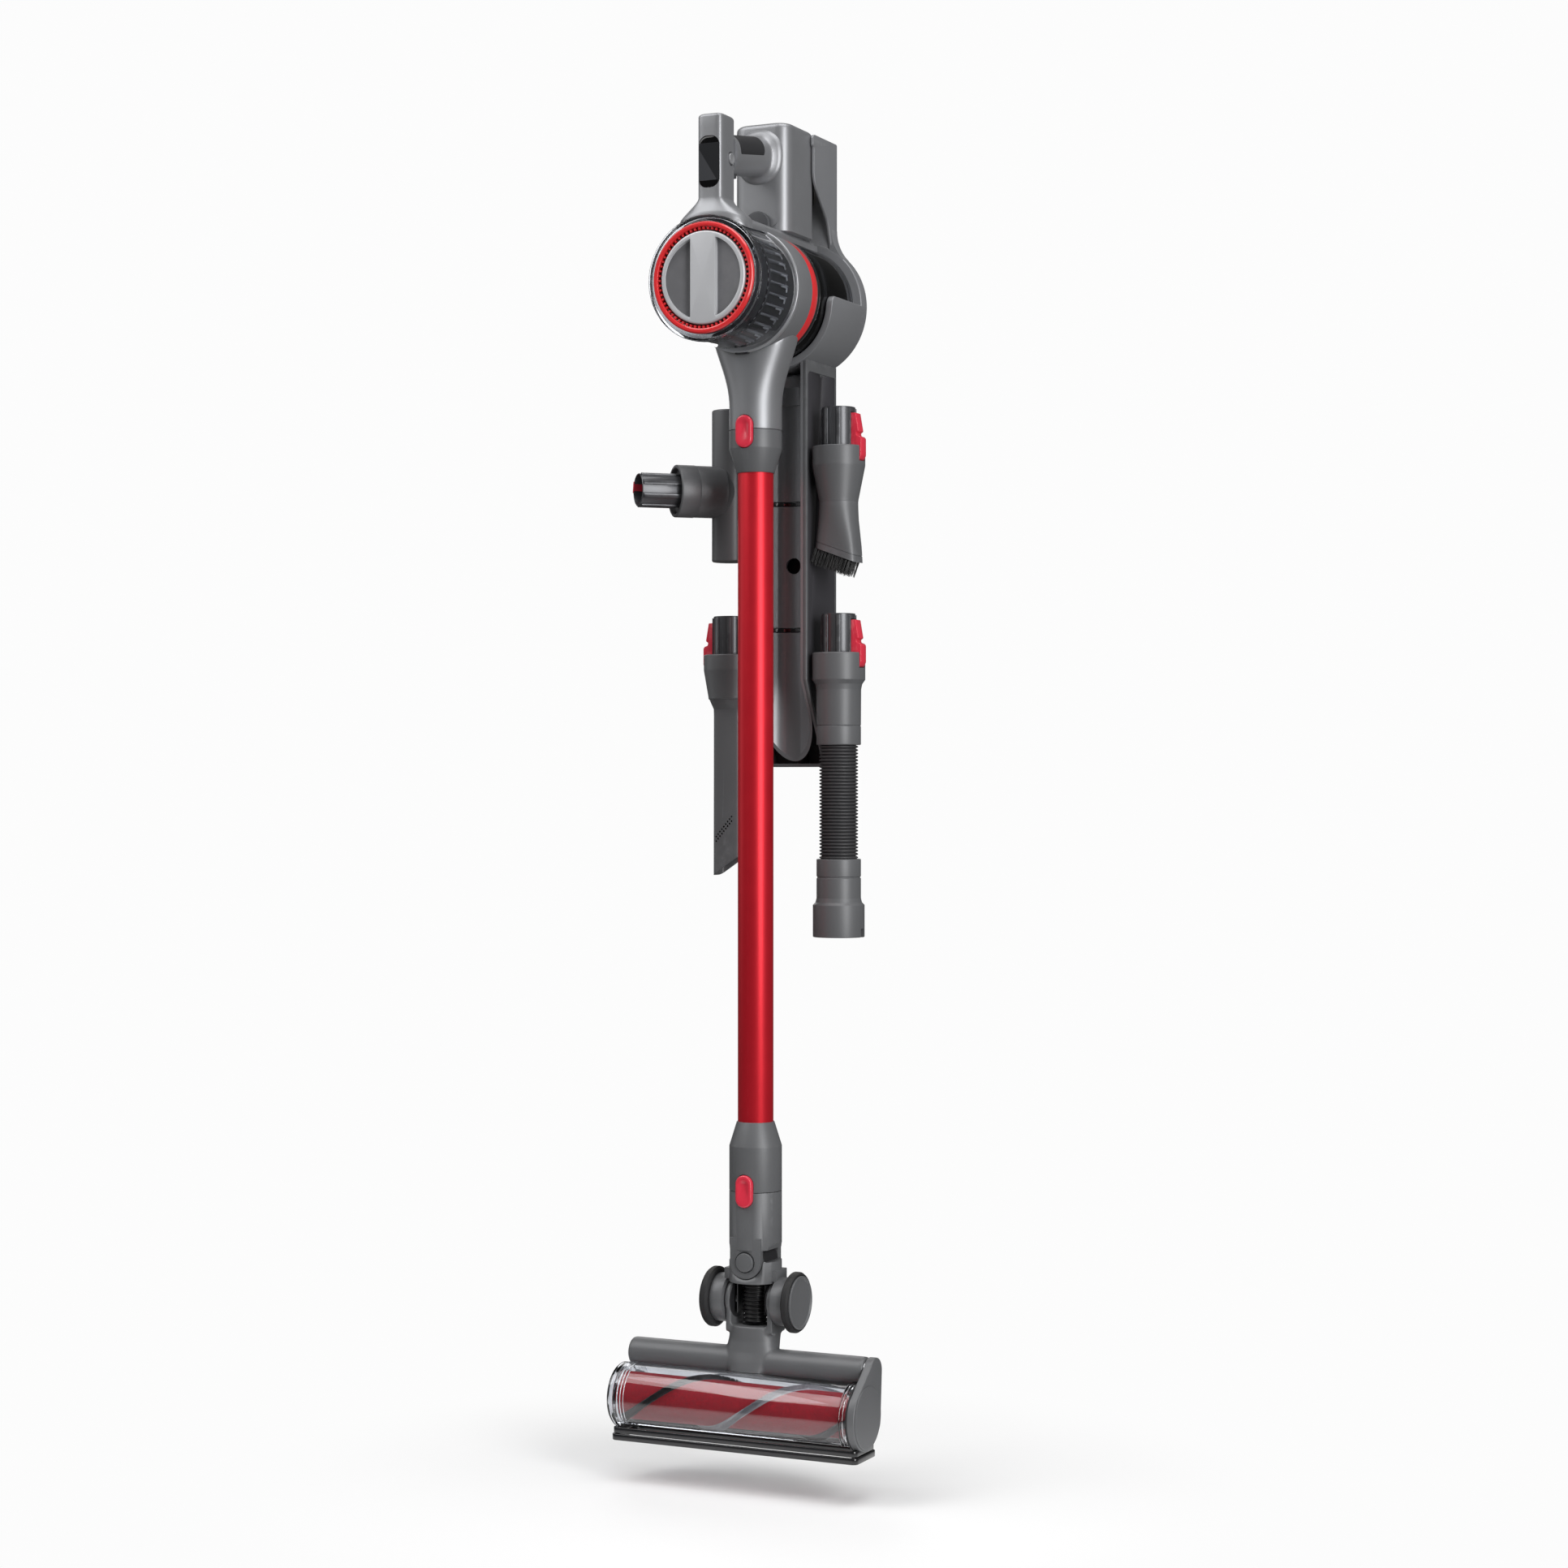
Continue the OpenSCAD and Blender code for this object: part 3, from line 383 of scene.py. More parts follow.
def mapValue(tree, value, fromLow, fromHigh, toLow=0.0, toHigh=1.0, smooth=False):
    node = addNode(tree, "ShaderNodeMapRange", {"Value": value, "From Min": fromLow,
        "From Max": fromHigh, "To Min": toLow, "To Max": toHigh})
    node.interpolation_type = "SMOOTHSTEP" if smooth else "LINEAR"
    return node.outputs["Result"]


def mixColours(tree, factor, first, second, how="MIX"):
    node = addNode(tree, "ShaderNodeMix", data_type="RGBA", blend_type=how)
    for number, value in ((0, factor), (6, first), (7, second)):
        setSocket(tree, node.inputs[number], value)
    return node.outputs[2]


def mixShaders(tree, factor, first, second):
    return addNode(tree, "ShaderNodeMixShader", {0: factor, 1: first, 2: second}).outputs[0]


def addNoise(tree, place, scale, detail, **more):
    values = {"Vector": place, "Scale": scale, "Detail": detail}
    values.update(more)
    return addNode(tree, "ShaderNodeTexNoise", values).outputs["Fac"]


def startGroup(name, inputs, outputs):
    # inputs and outputs are (name, kind, value) rows
    group = bpy.data.node_groups.new(name, "ShaderNodeTree")
    for label, kind, value in inputs:
        socket = group.interface.new_socket(label, in_out="INPUT", socket_type="NodeSocket" + kind)
        if value is not None:
            socket.default_value = value
    for label, kind in outputs:
        group.interface.new_socket(label, in_out="OUTPUT", socket_type="NodeSocket" + kind)
    return group, group.nodes.new("NodeGroupInput").outputs, group.nodes.new(
        "NodeGroupOutput").inputs


def mouldedGrainGroup():
    # the fine pebbled skin of a moulding, with a slow change of tone across it
    group, given, made = startGroup("mouldedGrain", [("Vector", "Vector", None),
        ("Scale", "Float", 900.0), ("Relief", "Float", 1.0), ("Unevenness", "Float", 0.06)],
        [("Height", "Float"), ("Tone", "Float")])
    fine = addNoise(group, given["Vector"], given["Scale"], 3.0, Roughness=0.6)
    broadScale = times(group, given["Scale"], 0.02)
    broad = addNoise(group, given["Vector"], broadScale, 2.0)
    height = times(group, fine, given["Relief"])
    shift = times(group, minus(group, broad, 0.5), given["Unevenness"])
    group.links.new(height, made["Height"])
    group.links.new(plus(group, shift, 1.0), made["Tone"])
    return group


def drawnLinesGroup():
    # the faint lengthwise lines that drawing and brushing leave on metal
    group, given, made = startGroup("drawnLines", [("Vector", "Vector", None),
        ("Scale", "Float", 1500.0), ("Relief", "Float", 1.0)],
        [("Height", "Float"), ("Tone", "Float")])
    stretch = addNode(group, "ShaderNodeMapping", {"Vector": given["Vector"],
        "Scale": (1, 1, 0.015)})
    lines = addNoise(group, stretch.outputs[0], given["Scale"], 2.0)
    group.links.new(times(group, lines, given["Relief"]), made["Height"])
    group.links.new(mapValue(group, lines, 0.3, 0.7, 0.9, 1.08), made["Tone"])
    return group


def edgeWearGroup():
    # rubbed edges: where the surface bends outwards, broken up by noise
    group, given, made = startGroup("edgeWear", [("Vector", "Vector", None),
        ("Amount", "Float", 0.4), ("Patch Scale", "Float", 90.0)], [("Mask", "Float")])
    bend = addNode(group, "ShaderNodeNewGeometry").outputs["Pointiness"]
    edge = mapValue(group, bend, 0.52, 0.62, smooth=True)
    patches = addNoise(group, given["Vector"], given["Patch Scale"], 4.0)
    broken = mapValue(group, patches, 0.4, 0.62, smooth=True)
    mask = times(group, times(group, edge, broken), given["Amount"], True)
    group.links.new(mask, made["Mask"])
    return group


def settledDustGroup():
    # a thin bloom of dust on what faces up
    group, given, made = startGroup("settledDust", [("Vector", "Vector", None),
        ("Amount", "Float", 0.12), ("Scale", "Float", 60.0)], [("Mask", "Float")])
    normal = addNode(group, "ShaderNodeNewGeometry").outputs["Normal"]
    upward = addNode(group, "ShaderNodeSeparateXYZ", {"Vector": normal}).outputs["Z"]
    facing = mapValue(group, upward, 0.35, 1.0, smooth=True)
    specks = addNoise(group, given["Vector"], given["Scale"], 6.0, Roughness=0.7)
    cover = mapValue(group, specks, 0.35, 0.75)
    group.links.new(times(group, times(group, facing, cover), given["Amount"], True), made["Mask"])
    return group


def openPoresGroup():
    # the cells of a sponge, or the pile of a felt when small
    group, given, made = startGroup("openPores", [("Vector", "Vector", None),
        ("Scale", "Float", 900.0), ("Depth", "Float", 1.0)], [("Height", "Float"),
        ("Mask", "Float")])
    cells = addNode(group, "ShaderNodeTexVoronoi", {"Vector": given["Vector"],
        "Scale": given["Scale"]})
    walls = mapValue(group, cells.outputs["Distance"], 0.15, 0.75, smooth=True)
    group.links.new(walls, made["Mask"])
    group.links.new(times(group, walls, given["Depth"]), made["Height"])
    return group


mouldedGrain = mouldedGrainGroup()
drawnLines = drawnLinesGroup()
edgeWear = edgeWearGroup()
settledDust = settledDustGroup()
openPores = openPoresGroup()


def placeGroup(tree, group, values):
    return addNode(tree, "ShaderNodeGroup", values, node_tree=group).outputs


def startMaterial(name):
    material = bpy.data.materials.new(name)
    material.use_nodes = True
    tree = material.node_tree
    return material, tree, tree.nodes["Principled BSDF"]


def objectPlace(tree):
    return addNode(tree, "ShaderNodeTexCoord").outputs["Object"]


def useBump(tree, shader, height, distance, strength=1.0):
    bump = addNode(tree, "ShaderNodeBump", {"Height": height, "Distance": distance,
        "Strength": strength})
    tree.links.new(bump.outputs["Normal"], shader.inputs["Normal"])


def setPlain(shader, values):
    for name, value in values.items():
        shader.inputs[name].default_value = value


def mouldedFinish(name, colour, rough=0.45, metallic=0.0, coat=0.0, coatRough=0.1, grain=900.0,
        relief=0.00003, uneven=0.08, wear=0.25, wornColour=(0.5, 0.5, 0.5, 1), dust=0.06,
        lines=0.0, specular=0.5):
    # a moulded or painted skin: grain, uneven tone, rubbed edges and a little dust
    material, tree, shader = startMaterial(name)
    place = objectPlace(tree)
    skin = placeGroup(tree, mouldedGrain, {"Vector": place, "Scale": grain, "Unevenness": uneven})
    rubbed = placeGroup(tree, edgeWear, {"Vector": place, "Amount": wear})["Mask"]
    dusty = placeGroup(tree, settledDust, {"Vector": place, "Amount": dust})["Mask"]
    height, tone = skin["Height"], skin["Tone"]
    if lines:
        drawn = placeGroup(tree, drawnLines, {"Vector": place, "Relief": lines})
        height = plus(tree, height, drawn["Height"])
        tone = times(tree, tone, drawn["Tone"])
    shade = addNode(tree, "ShaderNodeCombineColor", {"Red": tone, "Green": tone, "Blue": tone})
    base = mixColours(tree, 1.0, colour, shade.outputs[0], "MULTIPLY")
    base = mixColours(tree, rubbed, base, wornColour)
    base = mixColours(tree, dusty, base, tint(176, 172, 166))
    tree.links.new(base, shader.inputs["Base Color"])
    roughness = plus(tree, times(tree, minus(tree, tone, 1.0), 0.8), rough)
    roughness = plus(tree, roughness, times(tree, dusty, 0.5), True)
    tree.links.new(roughness, shader.inputs["Roughness"])
    useBump(tree, shader, height, relief)
    setPlain(shader, {"Metallic": metallic, "Coat Weight": coat, "Coat Roughness": coatRough,
        "Specular IOR Level": specular})
    return material


silverShell = mouldedFinish("silverShell", tint(150, 151, 154), rough=0.42, metallic=0.6,
    grain=2600.0, relief=0.00001, wear=0.3, wornColour=tint(206, 207, 210), dust=0.05)
paleSilver = mouldedFinish("paleSilver", tint(196, 197, 200), rough=0.3, metallic=0.7,
    grain=2600.0, relief=0.00001, wear=0.2, wornColour=tint(226, 226, 228))
greyShell = mouldedFinish("greyShell", tint(102, 103, 105), rough=0.44, metallic=0.2,
    grain=1500.0, relief=0.00002, wear=0.3, wornColour=tint(150, 151, 154))
darkGrey = mouldedFinish("darkGrey", tint(66, 67, 70), rough=0.5, grain=1200.0, relief=0.00003,
    wornColour=tint(104, 105, 107))
darkShell = mouldedFinish("darkShell", tint(38, 38, 40), rough=0.44, grain=1200.0, relief=0.00002,
    wornColour=tint(78, 78, 80))
glossyBlack = mouldedFinish("glossyBlack", tint(24, 24, 26), rough=0.16, coat=0.6, coatRough=0.04,
    grain=300.0, relief=0.000004, wear=0.12, wornColour=tint(60, 60, 62), dust=0.03)
redAnodised = mouldedFinish("redAnodised", tint(214, 30, 46), rough=0.42, metallic=0.6, coat=0.1,
    coatRough=0.3, grain=2400.0, relief=0.000004, wear=0.15, wornColour=tint(228, 70, 82))
redGloss = mouldedFinish("redGloss", tint(214, 44, 48), rough=0.22, coat=0.4, coatRough=0.06,
    grain=700.0, relief=0.000006, wear=0.15, wornColour=tint(236, 120, 120))
coralGloss = mouldedFinish("coralGloss", tint(218, 48, 70), rough=0.3, coat=0.3, coatRough=0.1,
    grain=900.0, relief=0.000008, wear=0.2, wornColour=tint(250, 150, 156))
knobShell = mouldedFinish("knobShell", tint(198, 199, 202), rough=0.34, metallic=0.3,
    grain=1800.0, relief=0.00001, wear=0.2, wornColour=tint(228, 228, 230), dust=0.03)
# the pocket floors: the knob's finish painted darker, as painted shade in the pockets
knobRecessShade = mouldedFinish("knobRecessShade", tint(116, 116, 119), rough=0.36, metallic=0.35,
    grain=1600.0, relief=0.000008, uneven=0.02, wear=0.05, dust=0.0)
wornSteel = mouldedFinish("wornSteel", tint(186, 187, 190), rough=0.26, metallic=1.0,
    grain=1800.0, relief=0.000008, wear=0.3, wornColour=tint(220, 220, 222), lines=0.4)
brassPins = mouldedFinish("brassPins", tint(206, 168, 88), rough=0.24, metallic=1.0, grain=1500.0,
    relief=0.000006, wear=0.3, wornColour=tint(232, 204, 140))
boardGreen = mouldedFinish("boardGreen", tint(32, 92, 60), rough=0.36, coat=0.4, grain=700.0,
    relief=0.00003, uneven=0.2)
cellWrap = mouldedFinish("cellWrap", tint(48, 108, 170), rough=0.3, coat=0.3, grain=400.0,
    relief=0.00001)
tyreRubber = mouldedFinish("tyreRubber", tint(42, 42, 43), rough=0.66, grain=1600.0,
    relief=0.00005, wear=0.5, wornColour=tint(70, 70, 70), dust=0.14, specular=0.3)
softRubber = mouldedFinish("softRubber", tint(40, 40, 42), rough=0.66, grain=1300.0,
    relief=0.00006, wear=0.3, wornColour=tint(76, 76, 78), specular=0.35)
plugShell = mouldedFinish("plugShell", tint(86, 87, 90), rough=0.36, metallic=0.6, grain=1500.0,
    relief=0.000006, wear=0.3, wornColour=tint(140, 141, 144), coat=0.3)
channelShell = mouldedFinish("channelShell", tint(134, 135, 138), rough=0.34, metallic=0.4,
    grain=1400.0, relief=0.000006, wear=0.15, wornColour=tint(140, 141, 143), coat=0.15)
bellowsRubber = mouldedFinish("bellowsRubber", tint(58, 58, 60), rough=0.5, grain=900.0,
    relief=0.00001, wear=0.5, wornColour=tint(96, 96, 98))
ribbedRubber = mouldedFinish("ribbedRubber", tint(28, 28, 29), rough=0.34, grain=900.0,
    relief=0.00001, wear=0.5, wornColour=tint(74, 74, 76))


def clearFinish(name, colour, rough=0.03, scuffs=0.05, density=1.0, bend=1.46):
    # clear moulded plastic with fine scuffs; lamps shine through it
    material, tree, shader = startMaterial(name)
    place = objectPlace(tree)
    haze = placeGroup(tree, mouldedGrain, {"Vector": place, "Scale": 1400.0, "Relief": 1.0})
    rubbed = placeGroup(tree, edgeWear, {"Vector": place, "Amount": 0.5, "Patch Scale": 160.0})[
        "Mask"]
    roughness = plus(tree, times(tree, haze["Height"], scuffs), rough)
    roughness = plus(tree, roughness, times(tree, rubbed, 0.03), True)
    tree.links.new(roughness, shader.inputs["Roughness"])
    setPlain(shader, {"Base Color": colour, "Transmission Weight": 1.0, "IOR": bend})
    output = tree.nodes["Material Output"]
    shadow = addNode(tree, "ShaderNodeLightPath").outputs["Is Shadow Ray"]
    through = addNode(tree, "ShaderNodeBsdfTransparent", {"Color": [c * density
        for c in colour[:3]] + [1]})
    tree.links.new(mixShaders(tree, shadow, shader.outputs[0], through.outputs[0]),
        output.inputs["Surface"])
    return material


clearCup = clearFinish("clearCup", tint(226, 228, 232), rough=0.0, scuffs=0.012)
clearCover = clearFinish("clearCover", tint(236, 238, 242), rough=0.0, scuffs=0.012, bend=1.6)
smokedCover = clearFinish("smokedCover", tint(122, 124, 130), rough=0.05, scuffs=0.05)


def screenFinish():
    # black glass with a paler slanted half, a painted reflection
    material, tree, shader = startMaterial("screenGlass")
    place = addNode(tree, "ShaderNodeSeparateXYZ", {"Vector": objectPlace(tree)}).outputs
    # painted reflection: the glass is paler above a slanted line across its middle
    slope = plus(tree, times(tree, place["X"], 1.6), place["Z"])
    edge = middle("screen", 2) - 0.004
    half = mapValue(tree, slope, edge - 0.0004, edge + 0.0004, 1.0, 0.0, smooth=True)
    pane = mixColours(tree, half, tint(38, 39, 41), tint(62, 63, 66))
    away = addMath(tree, "ABSOLUTE", minus(tree, place["Z"], middle("screen", 2)), 0.0)
    band = mapValue(tree, away, 0.0163, 0.0167, smooth=True)
    base = mixColours(tree, band, pane, tint(8, 8, 9))
    tree.links.new(base, shader.inputs["Base Color"])
    smears = placeGroup(tree, mouldedGrain, {"Vector": objectPlace(tree), "Scale": 700.0})
    tree.links.new(mapValue(tree, smears["Tone"], 0.96, 1.04, 0.07, 0.16),
        shader.inputs["Roughness"])
    setPlain(shader, {"Coat Weight": 0.3, "Coat Roughness": 0.03, "Specular IOR Level": 0.3})
    return material


screenGlass = screenFinish()


def pileFinish(name, colour, deep, scale, relief, sheen=0.5, rough=0.85, dust=0.12):
    # felt, foam and paper: a broken surface with darker depths
    material, tree, shader = startMaterial(name)
    place = objectPlace(tree)
    pores = placeGroup(tree, openPores, {"Vector": place, "Scale": scale})
    skin = placeGroup(tree, mouldedGrain, {"Vector": place, "Scale": scale * 1.7,
        "Unevenness": 0.3})
    shade = times(tree, pores["Mask"], skin["Tone"], True)
    base = mixColours(tree, shade, deep, colour)
    dusty = placeGroup(tree, settledDust, {"Vector": place, "Amount": dust})["Mask"]
    tree.links.new(mixColours(tree, dusty, base, tint(170, 166, 160)), shader.inputs["Base Color"])
    height = plus(tree, pores["Height"], skin["Height"])
    useBump(tree, shader, height, relief)
    tree.links.new(mapValue(tree, pores["Mask"], 0.0, 1.0, min(1.0, rough + 0.1), rough),
        shader.inputs["Roughness"])
    setPlain(shader, {"Sheen Weight": sheen, "Sheen Roughness": 0.4, "Specular IOR Level": 0.25})
    return material


rollerFelt = pileFinish("rollerFelt", tint(178, 22, 38), tint(96, 8, 18), 1900.0, 0.0003,
    sheen=0.1, dust=0.03)
filterPaper = pileFinish("filterPaper", tint(226, 224, 216), tint(170, 166, 156), 2200.0, 0.00008,
    sheen=0.1)
bristleGrey = mouldedFinish("bristleGrey", tint(150, 150, 152), rough=0.5, grain=2600.0,
    relief=0.00001, uneven=0.3, wornColour=tint(190, 190, 190))
bristleBlack = mouldedFinish("bristleBlack", tint(30, 30, 31), rough=0.5, grain=2600.0,
    relief=0.00001, uneven=0.3, wornColour=tint(80, 80, 80))

# the studio
print("studio")
studio = {"floorGap": 0.038, "floorSize": 7.0, "fadeStart": 0.17, "fadeEnd": 0.5,
    "floorWhite": tint(246, 246, 246), "skyWhite": 0.975, "skyLight": 0.26, "skyMirror": 0.07}


def seenDirectly(tree):
    # the eye sees the white backdrop itself, straight on or through glass
    path = addNode(tree, "ShaderNodeLightPath").outputs
    seen = plus(tree, path["Is Camera Ray"], path["Is Transmission Ray"], True)
    bounced = plus(tree, path["Glossy Depth"], path["Diffuse Depth"])
    return times(tree, seen, addMath(tree, "LESS_THAN", bounced, 0.5)), path


def makeSky():
    world = bpy.data.worlds.new("studio")
    bpy.context.scene.world = world
    world.use_nodes = True
    tree = world.node_tree
    background = tree.nodes["Background"]
    seen, path = seenDirectly(tree)
    mirrored = mapValue(tree, path["Is Glossy Ray"], 0, 1, studio["skyLight"], studio["skyMirror"])
    background.inputs["Color"].default_value = (1, 1, 1, 1)
    tree.links.new(mapValue(tree, seen, 0, 1, mirrored, studio["skyWhite"]),
        background.inputs["Strength"])


def makeFloor():
    # a pale floor near the head that fades into the backdrop
    half = studio["floorSize"] / 2
    z = low("sole_skirt", 2) - studio["floorGap"]
    centre = Vector((0, rollerY, z))
    floor = addPiece("floor", [centre + Vector((x * half, y * half, 0)) for x,
        y in ((-1, -1), (1, -1), (1, 1), (-1, 1))], [(0, 1, 2, 3)])
    material, tree, shader = startMaterial("floorPaper")
    setPlain(shader, {"Base Color": studio["floorWhite"], "Roughness": 0.9,
        "Specular IOR Level": 0.1})
    place = addNode(tree, "ShaderNodeMapping", {"Vector": objectPlace(tree), "Location": -centre})
    distance = addNode(tree, "ShaderNodeVectorMath", {0: place.outputs[0]}, operation="LENGTH")
    fade = mapValue(tree, distance.outputs["Value"], studio["fadeStart"], studio["fadeEnd"],
        smooth=True)
    glow = addNode(tree, "ShaderNodeEmission", {"Color": (1, 1, 1, 1),
        "Strength": studio["skyWhite"]})
    through = addNode(tree, "ShaderNodeBsdfTransparent")
    seen = seenDirectly(tree)[0]
    backdrop = mixShaders(tree, seen, through.outputs[0], glow.outputs[0])
    tree.links.new(mixShaders(tree, fade, shader.outputs[0], backdrop),
        tree.nodes["Material Output"].inputs["Surface"])
    floor.data.materials.append(material)


lamps = [
    # name, place, aim, width, height, watts
    ("keyLamp", (2.4, -1.5, 0.1), (0, -0.1, -0.35), 1.1, 2.6, 64),
    ("fillLamp", (-2.6, -0.6, 0.3), (0, -0.1, -0.4), 0.9, 2.2, 5),
    ("topLamp", (-1.5, -1.45, 1.92), (0, -0.14, -0.7), 1.6, 2.7, 46),
    ("overLamp", (0.7, -0.35, 2.3), (0, -0.14, -0.9), 1.8, 1.8, 34),
    ("backLamp", (-1.6, 2.2, 0.8), (0, 0, -0.3), 1.4, 1.8, 14),
]


def addLamp(name, place, aim, width, height, watts):
    data = bpy.data.lights.new(name, "AREA")
    data.shape = "RECTANGLE"
    data.size, data.size_y, data.energy = width, height, watts
    lamp = bpy.data.objects.new(name, data)
    lamp.location = place
    lamp.rotation_euler = (Vector(aim) - Vector(place)).to_track_quat("-Z", "Y").to_euler()
    bpy.context.scene.collection.objects.link(lamp)


makeSky()
makeFloor()
for lamp in lamps:
    addLamp(*lamp)

# geometry node trees for what repeats
def startTree(name, inputs):
    tree = bpy.data.node_groups.new(name, "GeometryNodeTree")
    tree.interface.new_socket("Geometry", in_out="INPUT", socket_type="NodeSocketGeometry")
    for label, kind, value in inputs:
        socket = tree.interface.new_socket(label, in_out="INPUT", socket_type="NodeSocket" + kind)
        if value is not None:
            socket.default_value = value
    tree.interface.new_socket("Geometry", in_out="OUTPUT", socket_type="NodeSocketGeometry")
    return tree, tree.nodes.new("NodeGroupInput").outputs, tree.nodes.new("NodeGroupOutput").inputs


def endTree(tree, instances, material, made):
    solid = addNode(tree, "GeometryNodeRealizeInstances", {"Geometry": instances})
    painted = addNode(tree, "GeometryNodeSetMaterial", {"Geometry": solid.outputs[0],
        "Material": material})
    tree.links.new(painted.outputs[0], made["Geometry"])


def useTree(piece, tree, values):
    change = piece.modifiers.new(tree.name, "NODES")
    change.node_group = tree
    keys = {item.name: item.identifier for item in tree.interface.items_tree
        if item.in_out == "INPUT"}
    for label, value in values.items():
        change[keys[label]] = value
    piece.update_tag()
    return applyModifiers(piece)


def repeatRoundTree():
    # copies of one shape turned evenly round a centre
    tree, given, made = startTree("repeatRound", [("Count", "Int", 24),
        ("Centre", "Vector", None), ("Full Turn", "Vector", None), ("Material", "Material", None)])
    points = addNode(tree, "GeometryNodePoints", {"Count": given["Count"],
        "Position": given["Centre"]})
    index = addNode(tree, "GeometryNodeInputIndex").outputs[0]
    share = addMath(tree, "DIVIDE", index, given["Count"])
    turn = addNode(tree, "ShaderNodeVectorMath", {0: given["Full Turn"], "Scale": share},
        operation="SCALE")
    shifted = addNode(tree, "GeometryNodeTransform", {"Geometry": given["Geometry"]})
    back = addNode(tree, "ShaderNodeVectorMath", {0: given["Centre"], "Scale": -1.0},
        operation="SCALE")
    tree.links.new(back.outputs[0], shifted.inputs["Translation"])
    copies = addNode(tree, "GeometryNodeInstanceOnPoints", {"Points": points.outputs[0],
        "Instance": shifted.outputs[0], "Rotation": turn.outputs[0]})
    endTree(tree, copies.outputs[0], given["Material"], made)
    return tree


def repeatAlongTree():
    # copies of one shape at even steps
    tree, given, made = startTree("repeatAlong", [("Count", "Int", 10), ("Step", "Vector", None),
        ("Material", "Material", None)])
    line = addNode(tree, "GeometryNodeMeshLine", {"Count": given["Count"],
        "Offset": given["Step"]})
    copies = addNode(tree, "GeometryNodeInstanceOnPoints", {"Points": line.outputs[0],
        "Instance": given["Geometry"]})
    endTree(tree, copies.outputs[0], given["Material"], made)
    return tree


def spiralBristleTree():
    # tufts standing out from a roller along a spiral; the roller lies along X
    tree, given, made = startTree("spiralBristles", [("Count", "Int", 900),
        ("Start", "Float", 0.0), ("End", "Float", 0.2), ("Turns", "Float", 1.0),
        ("First Angle", "Float", 0.0), ("Centre", "Vector", None), ("Radius", "Float", 0.024),
        ("Tuft Length", "Float", 0.003), ("Tuft Radius", "Float", 0.0005),
        ("Spread", "Float", 0.25), ("Seed", "Int", 4), ("Material", "Material", None)])
    index = addNode(tree, "GeometryNodeInputIndex").outputs[0]
    share = addMath(tree, "DIVIDE", index, given["Count"])
    span = minus(tree, given["End"], given["Start"])
    along = plus(tree, given["Start"], times(tree, span, share))
    scatter = addNode(tree, "FunctionNodeRandomValue", {2: -1.0, 3: 1.0, "Seed": given["Seed"]},
        data_type="FLOAT").outputs[1]
    turned = times(tree, times(tree, given["Turns"], tau), share)
    swing = times(tree, scatter, times(tree, given["Spread"], 0.5))
    angle = plus(tree, plus(tree, given["First Angle"], turned), swing)
    outY = addMath(tree, "COSINE", angle)
    outZ = addMath(tree, "SINE", angle)
    outward = addNode(tree, "ShaderNodeCombineXYZ", {"Y": outY, "Z": outZ})
    reach = addNode(tree, "ShaderNodeVectorMath", {0: outward.outputs[0],
        "Scale": given["Radius"]}, operation="SCALE")
    base = addNode(tree, "ShaderNodeCombineXYZ", {"X": along})
    place = addNode(tree, "ShaderNodeVectorMath", {0: reach.outputs[0], 1: base.outputs[0]},
        operation="ADD")
    place = addNode(tree, "ShaderNodeVectorMath", {0: place.outputs[0], 1: given["Centre"]},
        operation="ADD")
    points = addNode(tree, "GeometryNodePoints", {"Count": given["Count"],
        "Position": place.outputs[0]})
    aim = addNode(tree, "FunctionNodeAlignRotationToVector", {"Vector": outward.outputs[0]},
        axis="Z")
    tuft = addNode(tree, "GeometryNodeMeshCone", {"Vertices": 5, "Radius Top": 0.00012,
        "Radius Bottom": given["Tuft Radius"], "Depth": given["Tuft Length"]})
    size = addNode(tree, "FunctionNodeRandomValue", {2: 0.72, 3: 1.0, "Seed": given["Seed"]},
        data_type="FLOAT").outputs[1]
    copies = addNode(tree, "GeometryNodeInstanceOnPoints", {"Points": points.outputs[0],
        "Instance": tuft.outputs[0], "Rotation": aim.outputs[0], "Scale": size})
    endTree(tree, copies.outputs[0], given["Material"], made)
    return tree


def bristleFieldTree():
    # bristles growing from a base surface, all leaning a little
    tree, given, made = startTree("bristleField", [("Density", "Float", 900000.0),
        ("Bristle Length", "Float", 0.012), ("Bristle Radius", "Float", 0.0003),
        ("Lean", "Float", 0.12), ("Seed", "Int", 7), ("Material", "Material", None)])
    spots = addNode(tree, "GeometryNodeDistributePointsOnFaces",
        {"Mesh": given["Geometry"], "Density": given["Density"], "Seed": given["Seed"]})
    bristle = addNode(tree, "GeometryNodeMeshCone", {"Vertices": 4, "Radius Top": 0.0001,
        "Radius Bottom": given["Bristle Radius"], "Depth": given["Bristle Length"]})
    low = times(tree, given["Lean"], -1.0)
    spread = addNode(tree, "ShaderNodeCombineXYZ", {"X": given["Lean"], "Y": given["Lean"]})
    spreadLow = addNode(tree, "ShaderNodeCombineXYZ", {"X": low, "Y": low})
    tilt = addNode(tree, "FunctionNodeRandomValue", {0: spreadLow.outputs[0],
        1: spread.outputs[0], "Seed": given["Seed"]}, data_type="FLOAT_VECTOR")
    turn = addNode(tree, "FunctionNodeRotateRotation", {"Rotation": spots.outputs["Rotation"],
        "Rotate By": tilt.outputs[0]})
    turn.rotation_space = "LOCAL"
    size = addNode(tree, "FunctionNodeRandomValue", {2: 0.8, 3: 1.0, "Seed": given["Seed"]},
        data_type="FLOAT").outputs[1]
    copies = addNode(tree, "GeometryNodeInstanceOnPoints", {"Points": spots.outputs["Points"],
        "Instance": bristle.outputs[0], "Rotation": turn.outputs[0], "Scale": size})
    endTree(tree, copies.outputs[0], given["Material"], made)
    return tree




